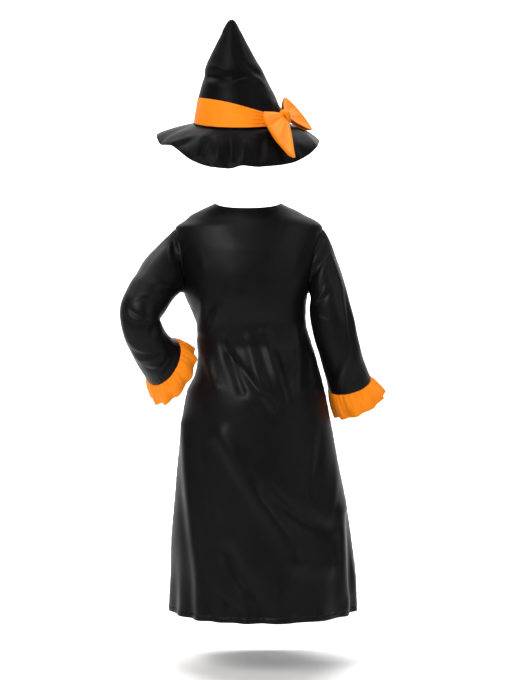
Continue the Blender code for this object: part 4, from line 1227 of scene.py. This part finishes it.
def satin_finish():
    """Bright orange satin: a fine twill, deeper and paler in soft cloudy patches, with a soft shine.
    """
    finish = Finish("orange_satin_cloth", Sheen_Weight=0.02, Sheen_Roughness=0.30,
                    Sheen_Tint=(1.0, 0.62, 0.20, 1.0), Specular_IOR_Level=0.08)
    flat, across, along = finish.cloth_place()
    twill = finish.sine((across * 0.7 + along) * (2 * math.pi / 0.6))
    cloudy = finish.noise(flat, 60.0, 3.0)
    fibre = finish.noise(flat, 1300.0, 2.0)
    finish.feed("Base Color", finish.between(cloudy * 0.6 + fibre * 0.4, (0.86, 0.200, 0.004, 1),
                                             (0.92, 0.275, 0.014, 1)))
    finish.feed("Roughness", cloudy * 0.12 + fibre * 0.08 + 0.40)
    finish.feed("Normal", finish.bump(twill * 0.4 + fibre * 0.6, 0.00005, 0.5))
    return finish.material


def thread_finish(name, colour):
    """Polyester thread: two twisted strands seen as a fine slanting line."""
    finish = Finish(name, Sheen_Weight=0.2)
    place = finish.node("ShaderNodeTexCoord", {}, {}, out=3)
    strand = finish.noise(place, 2500.0, 1.0)
    finish.feed("Base Color", finish.between(strand, colour, tuple(min(1, 1.6 * c) for c in colour)))
    finish.feed("Roughness", strand * 0.2 + 0.35)
    finish.feed("Normal", finish.bump(strand, 0.00008, 0.5))
    return finish.material


def floor_finish():
    finish = Finish("pale_floor", Roughness=0.9)
    place = finish.node("ShaderNodeTexCoord", {}, {}, out=3)
    cloudy = finish.noise(place, 2.0, 2.0)
    finish.feed("Base Color", finish.between(cloudy, (0.86, 0.86, 0.86, 1), (0.90, 0.90, 0.90, 1)))
    return finish.material


def make_dress(knit, satin, thread, bright_thread):
    back = panel_grid(math.pi, BACK_COLUMNS, BACK_NECK_DROP, BACK_CREASES, BACK_HEM_PUCKERS,
                      OVER_TURN)
    front = panel_grid(0, FRONT_COLUMNS, FRONT_NECK_DROP, FRONT_CREASES, FRONT_HEM_PUCKERS,
                       UNDER_TURN)
    for name, grid, flat, area in (("back", back, (0.62, 0.93), 0.430),
                                   ("front", front, (0.62, 0.91), 0.420)):
        piece = cloth("dress_" + name, [name + "_panel"], grid, KNIT_WALL, False, knit)
        margin = len(SEAM_TURN)
        inner = grid[:, margin:-margin]
        lines = [line_across(inner, False, -len(HEM_TURN), HEM_TURNING + HEM_RAISE),
                 line_across(inner, False, len(NECK_TURN), NECK_TURNING)]
        sewing = stitches("dress_" + name + "_stitches", lines, thread)
    arms = (("left", -1, LEFT_SLEEVE, LEFT_FRILL, LEFT_SLEEVE_CREASES, LEFT_SLEEVE_FRONT_CREASES,
             (0.36, 0.40), 0.105),
            ("right", 1, RIGHT_SLEEVE, RIGHT_FRILL, RIGHT_SLEEVE_CREASES, RIGHT_SLEEVE_FRONT_CREASES,
             (0.36, 0.40), 0.098))
    for name, side, sections, frill, behind, before, flat, area in arms:
        grid = sleeve_grid(side, sections, frill, behind, before)
        halves = ["sleeve_" + name + "_upper", "sleeve_" + name + "_lower"]
        sleeve = cloth("dress_sleeve_" + name, halves, grid, KNIT_WALL, True, knit)
        grid = frill_grid(side, sections, frill)
        gathered = cloth("dress_frill_" + name, ["frill_" + name], grid, FRILL_WALL, True, satin)
        line = line_across(grid, True, -len(FRILL_EDGE_TURN), ROLL_SEWING)
        sewing = stitches("frill_" + name + "_stitches", [line], bright_thread)


def make_hat(felt, satin, thread):
    crown = cloth("hat_crown_cloth", ["hat_crown"], crown_grid(), HAT_WALL, True, felt)
    grid = brim_grid()
    brim = cloth("hat_brim_cloth", ["hat_brim"], grid, HAT_WALL, True, felt)
    edge = line_across(grid, True, 0, BRIM_STITCH_INSET)
    sewing = stitches("hat_brim_stitches", [edge], thread)
    band = cloth("hat_band_cloth", ["hat_band"], band_grid(), TRIM_WALL, True, satin)
    knot = cloth("bow_knot_cloth", ["bow_knot"], knot_grid(), TRIM_WALL, True, satin)
    for wing in WINGS:
        piece = cloth(wing.name + "_cloth", [wing.name], wing_grid(wing), TRIM_WALL, False, satin)


def area_light(name, place, aim, size, power, colour):
    lamp = bpy.data.lights.new(name, "AREA")
    lamp.shape = "RECTANGLE"
    lamp.size, lamp.size_y = size
    lamp.energy = power
    lamp.color = colour
    light = bpy.data.objects.new(name, lamp)
    light.location = place
    way = np.array(aim, dtype=float) - np.array(place, dtype=float)
    light.rotation_euler = (math.atan2(math.hypot(way[0], way[1]), -way[2]), 0,
                            math.atan2(way[1], way[0]) - math.pi / 2)
    bpy.context.scene.collection.objects.link(light)


def make_floor():
    """A pale floor that curves up behind the costume into a pale wall."""
    turn = np.linspace(0, math.pi / 2, 17)
    bend = WALL_PLACE + WALL_RADIUS * np.sin(turn)
    y = np.concatenate([[-FLOOR_REACH], bend, [WALL_PLACE + WALL_RADIUS]])
    z = np.concatenate([[0.0], WALL_RADIUS * (1 - np.cos(turn)), [WALL_TOP]]) + FLOOR_HEIGHT
    x = np.array([FLOOR_REACH, -FLOOR_REACH])
    grid = np.stack(np.broadcast_arrays(x[None], y[:, None], z[:, None]), axis=-1)
    floor = surface("studio_floor", grid, False, floor_finish())


def make_studio():
    make_floor()
    area_light("key", (-1.7, -2.9, 2.0), (0.0, 0.0, -0.2), (1.0, 1.6), 118, (1.0, 0.98, 0.96))
    area_light("fill", (2.6, -2.2, 1.2), (0.0, 0.0, -0.3), (0.9, 2.2), 32, (0.98, 0.99, 1.0))
    area_light("top", (0.2, -0.6, 3.2), (0.0, 0.1, 0.0), (2.4, 1.6), 42, (1.0, 1.0, 1.0))
    area_light("wall", (0.0, 1.4, 3.0), (0.0, 4.0, 0.4), (6.0, 1.5), 460, (1.0, 1.0, 1.0))
    world = bpy.data.worlds.new("studio")
    world.use_nodes = True
    world.node_tree.nodes["Background"].inputs["Color"].default_value = (1.0, 1.0, 1.0, 1.0)
    world.node_tree.nodes["Background"].inputs["Strength"].default_value = 0.10
    bpy.context.scene.world = world
    lens = bpy.data.cameras.new("camera")
    lens.lens = CAMERA_LENS
    lens.clip_end = 50
    camera = bpy.data.objects.new("camera", lens)
    camera.location = CAMERA_PLACE
    camera.rotation_euler = (math.radians(90 - CAMERA_TILT), 0, 0)
    bpy.context.scene.collection.objects.link(camera)
    bpy.context.scene.camera = camera
    bpy.context.scene.view_settings.view_transform = "Standard"


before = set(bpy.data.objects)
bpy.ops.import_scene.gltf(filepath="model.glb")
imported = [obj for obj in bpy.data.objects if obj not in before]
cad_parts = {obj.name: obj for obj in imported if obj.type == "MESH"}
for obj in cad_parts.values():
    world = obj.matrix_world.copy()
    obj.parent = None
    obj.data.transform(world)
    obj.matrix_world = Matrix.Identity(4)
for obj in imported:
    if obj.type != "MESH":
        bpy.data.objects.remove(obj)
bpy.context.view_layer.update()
knit = knit_finish()
satin = satin_finish()
felt = hat_finish()
black_thread = thread_finish("black_thread", (0.016, 0.015, 0.018, 1.0))
orange_thread = thread_finish("orange_thread", (0.75, 0.16, 0.008, 1.0))
make_dress(knit, satin, black_thread, orange_thread)
make_hat(felt, satin, black_thread)
make_studio()
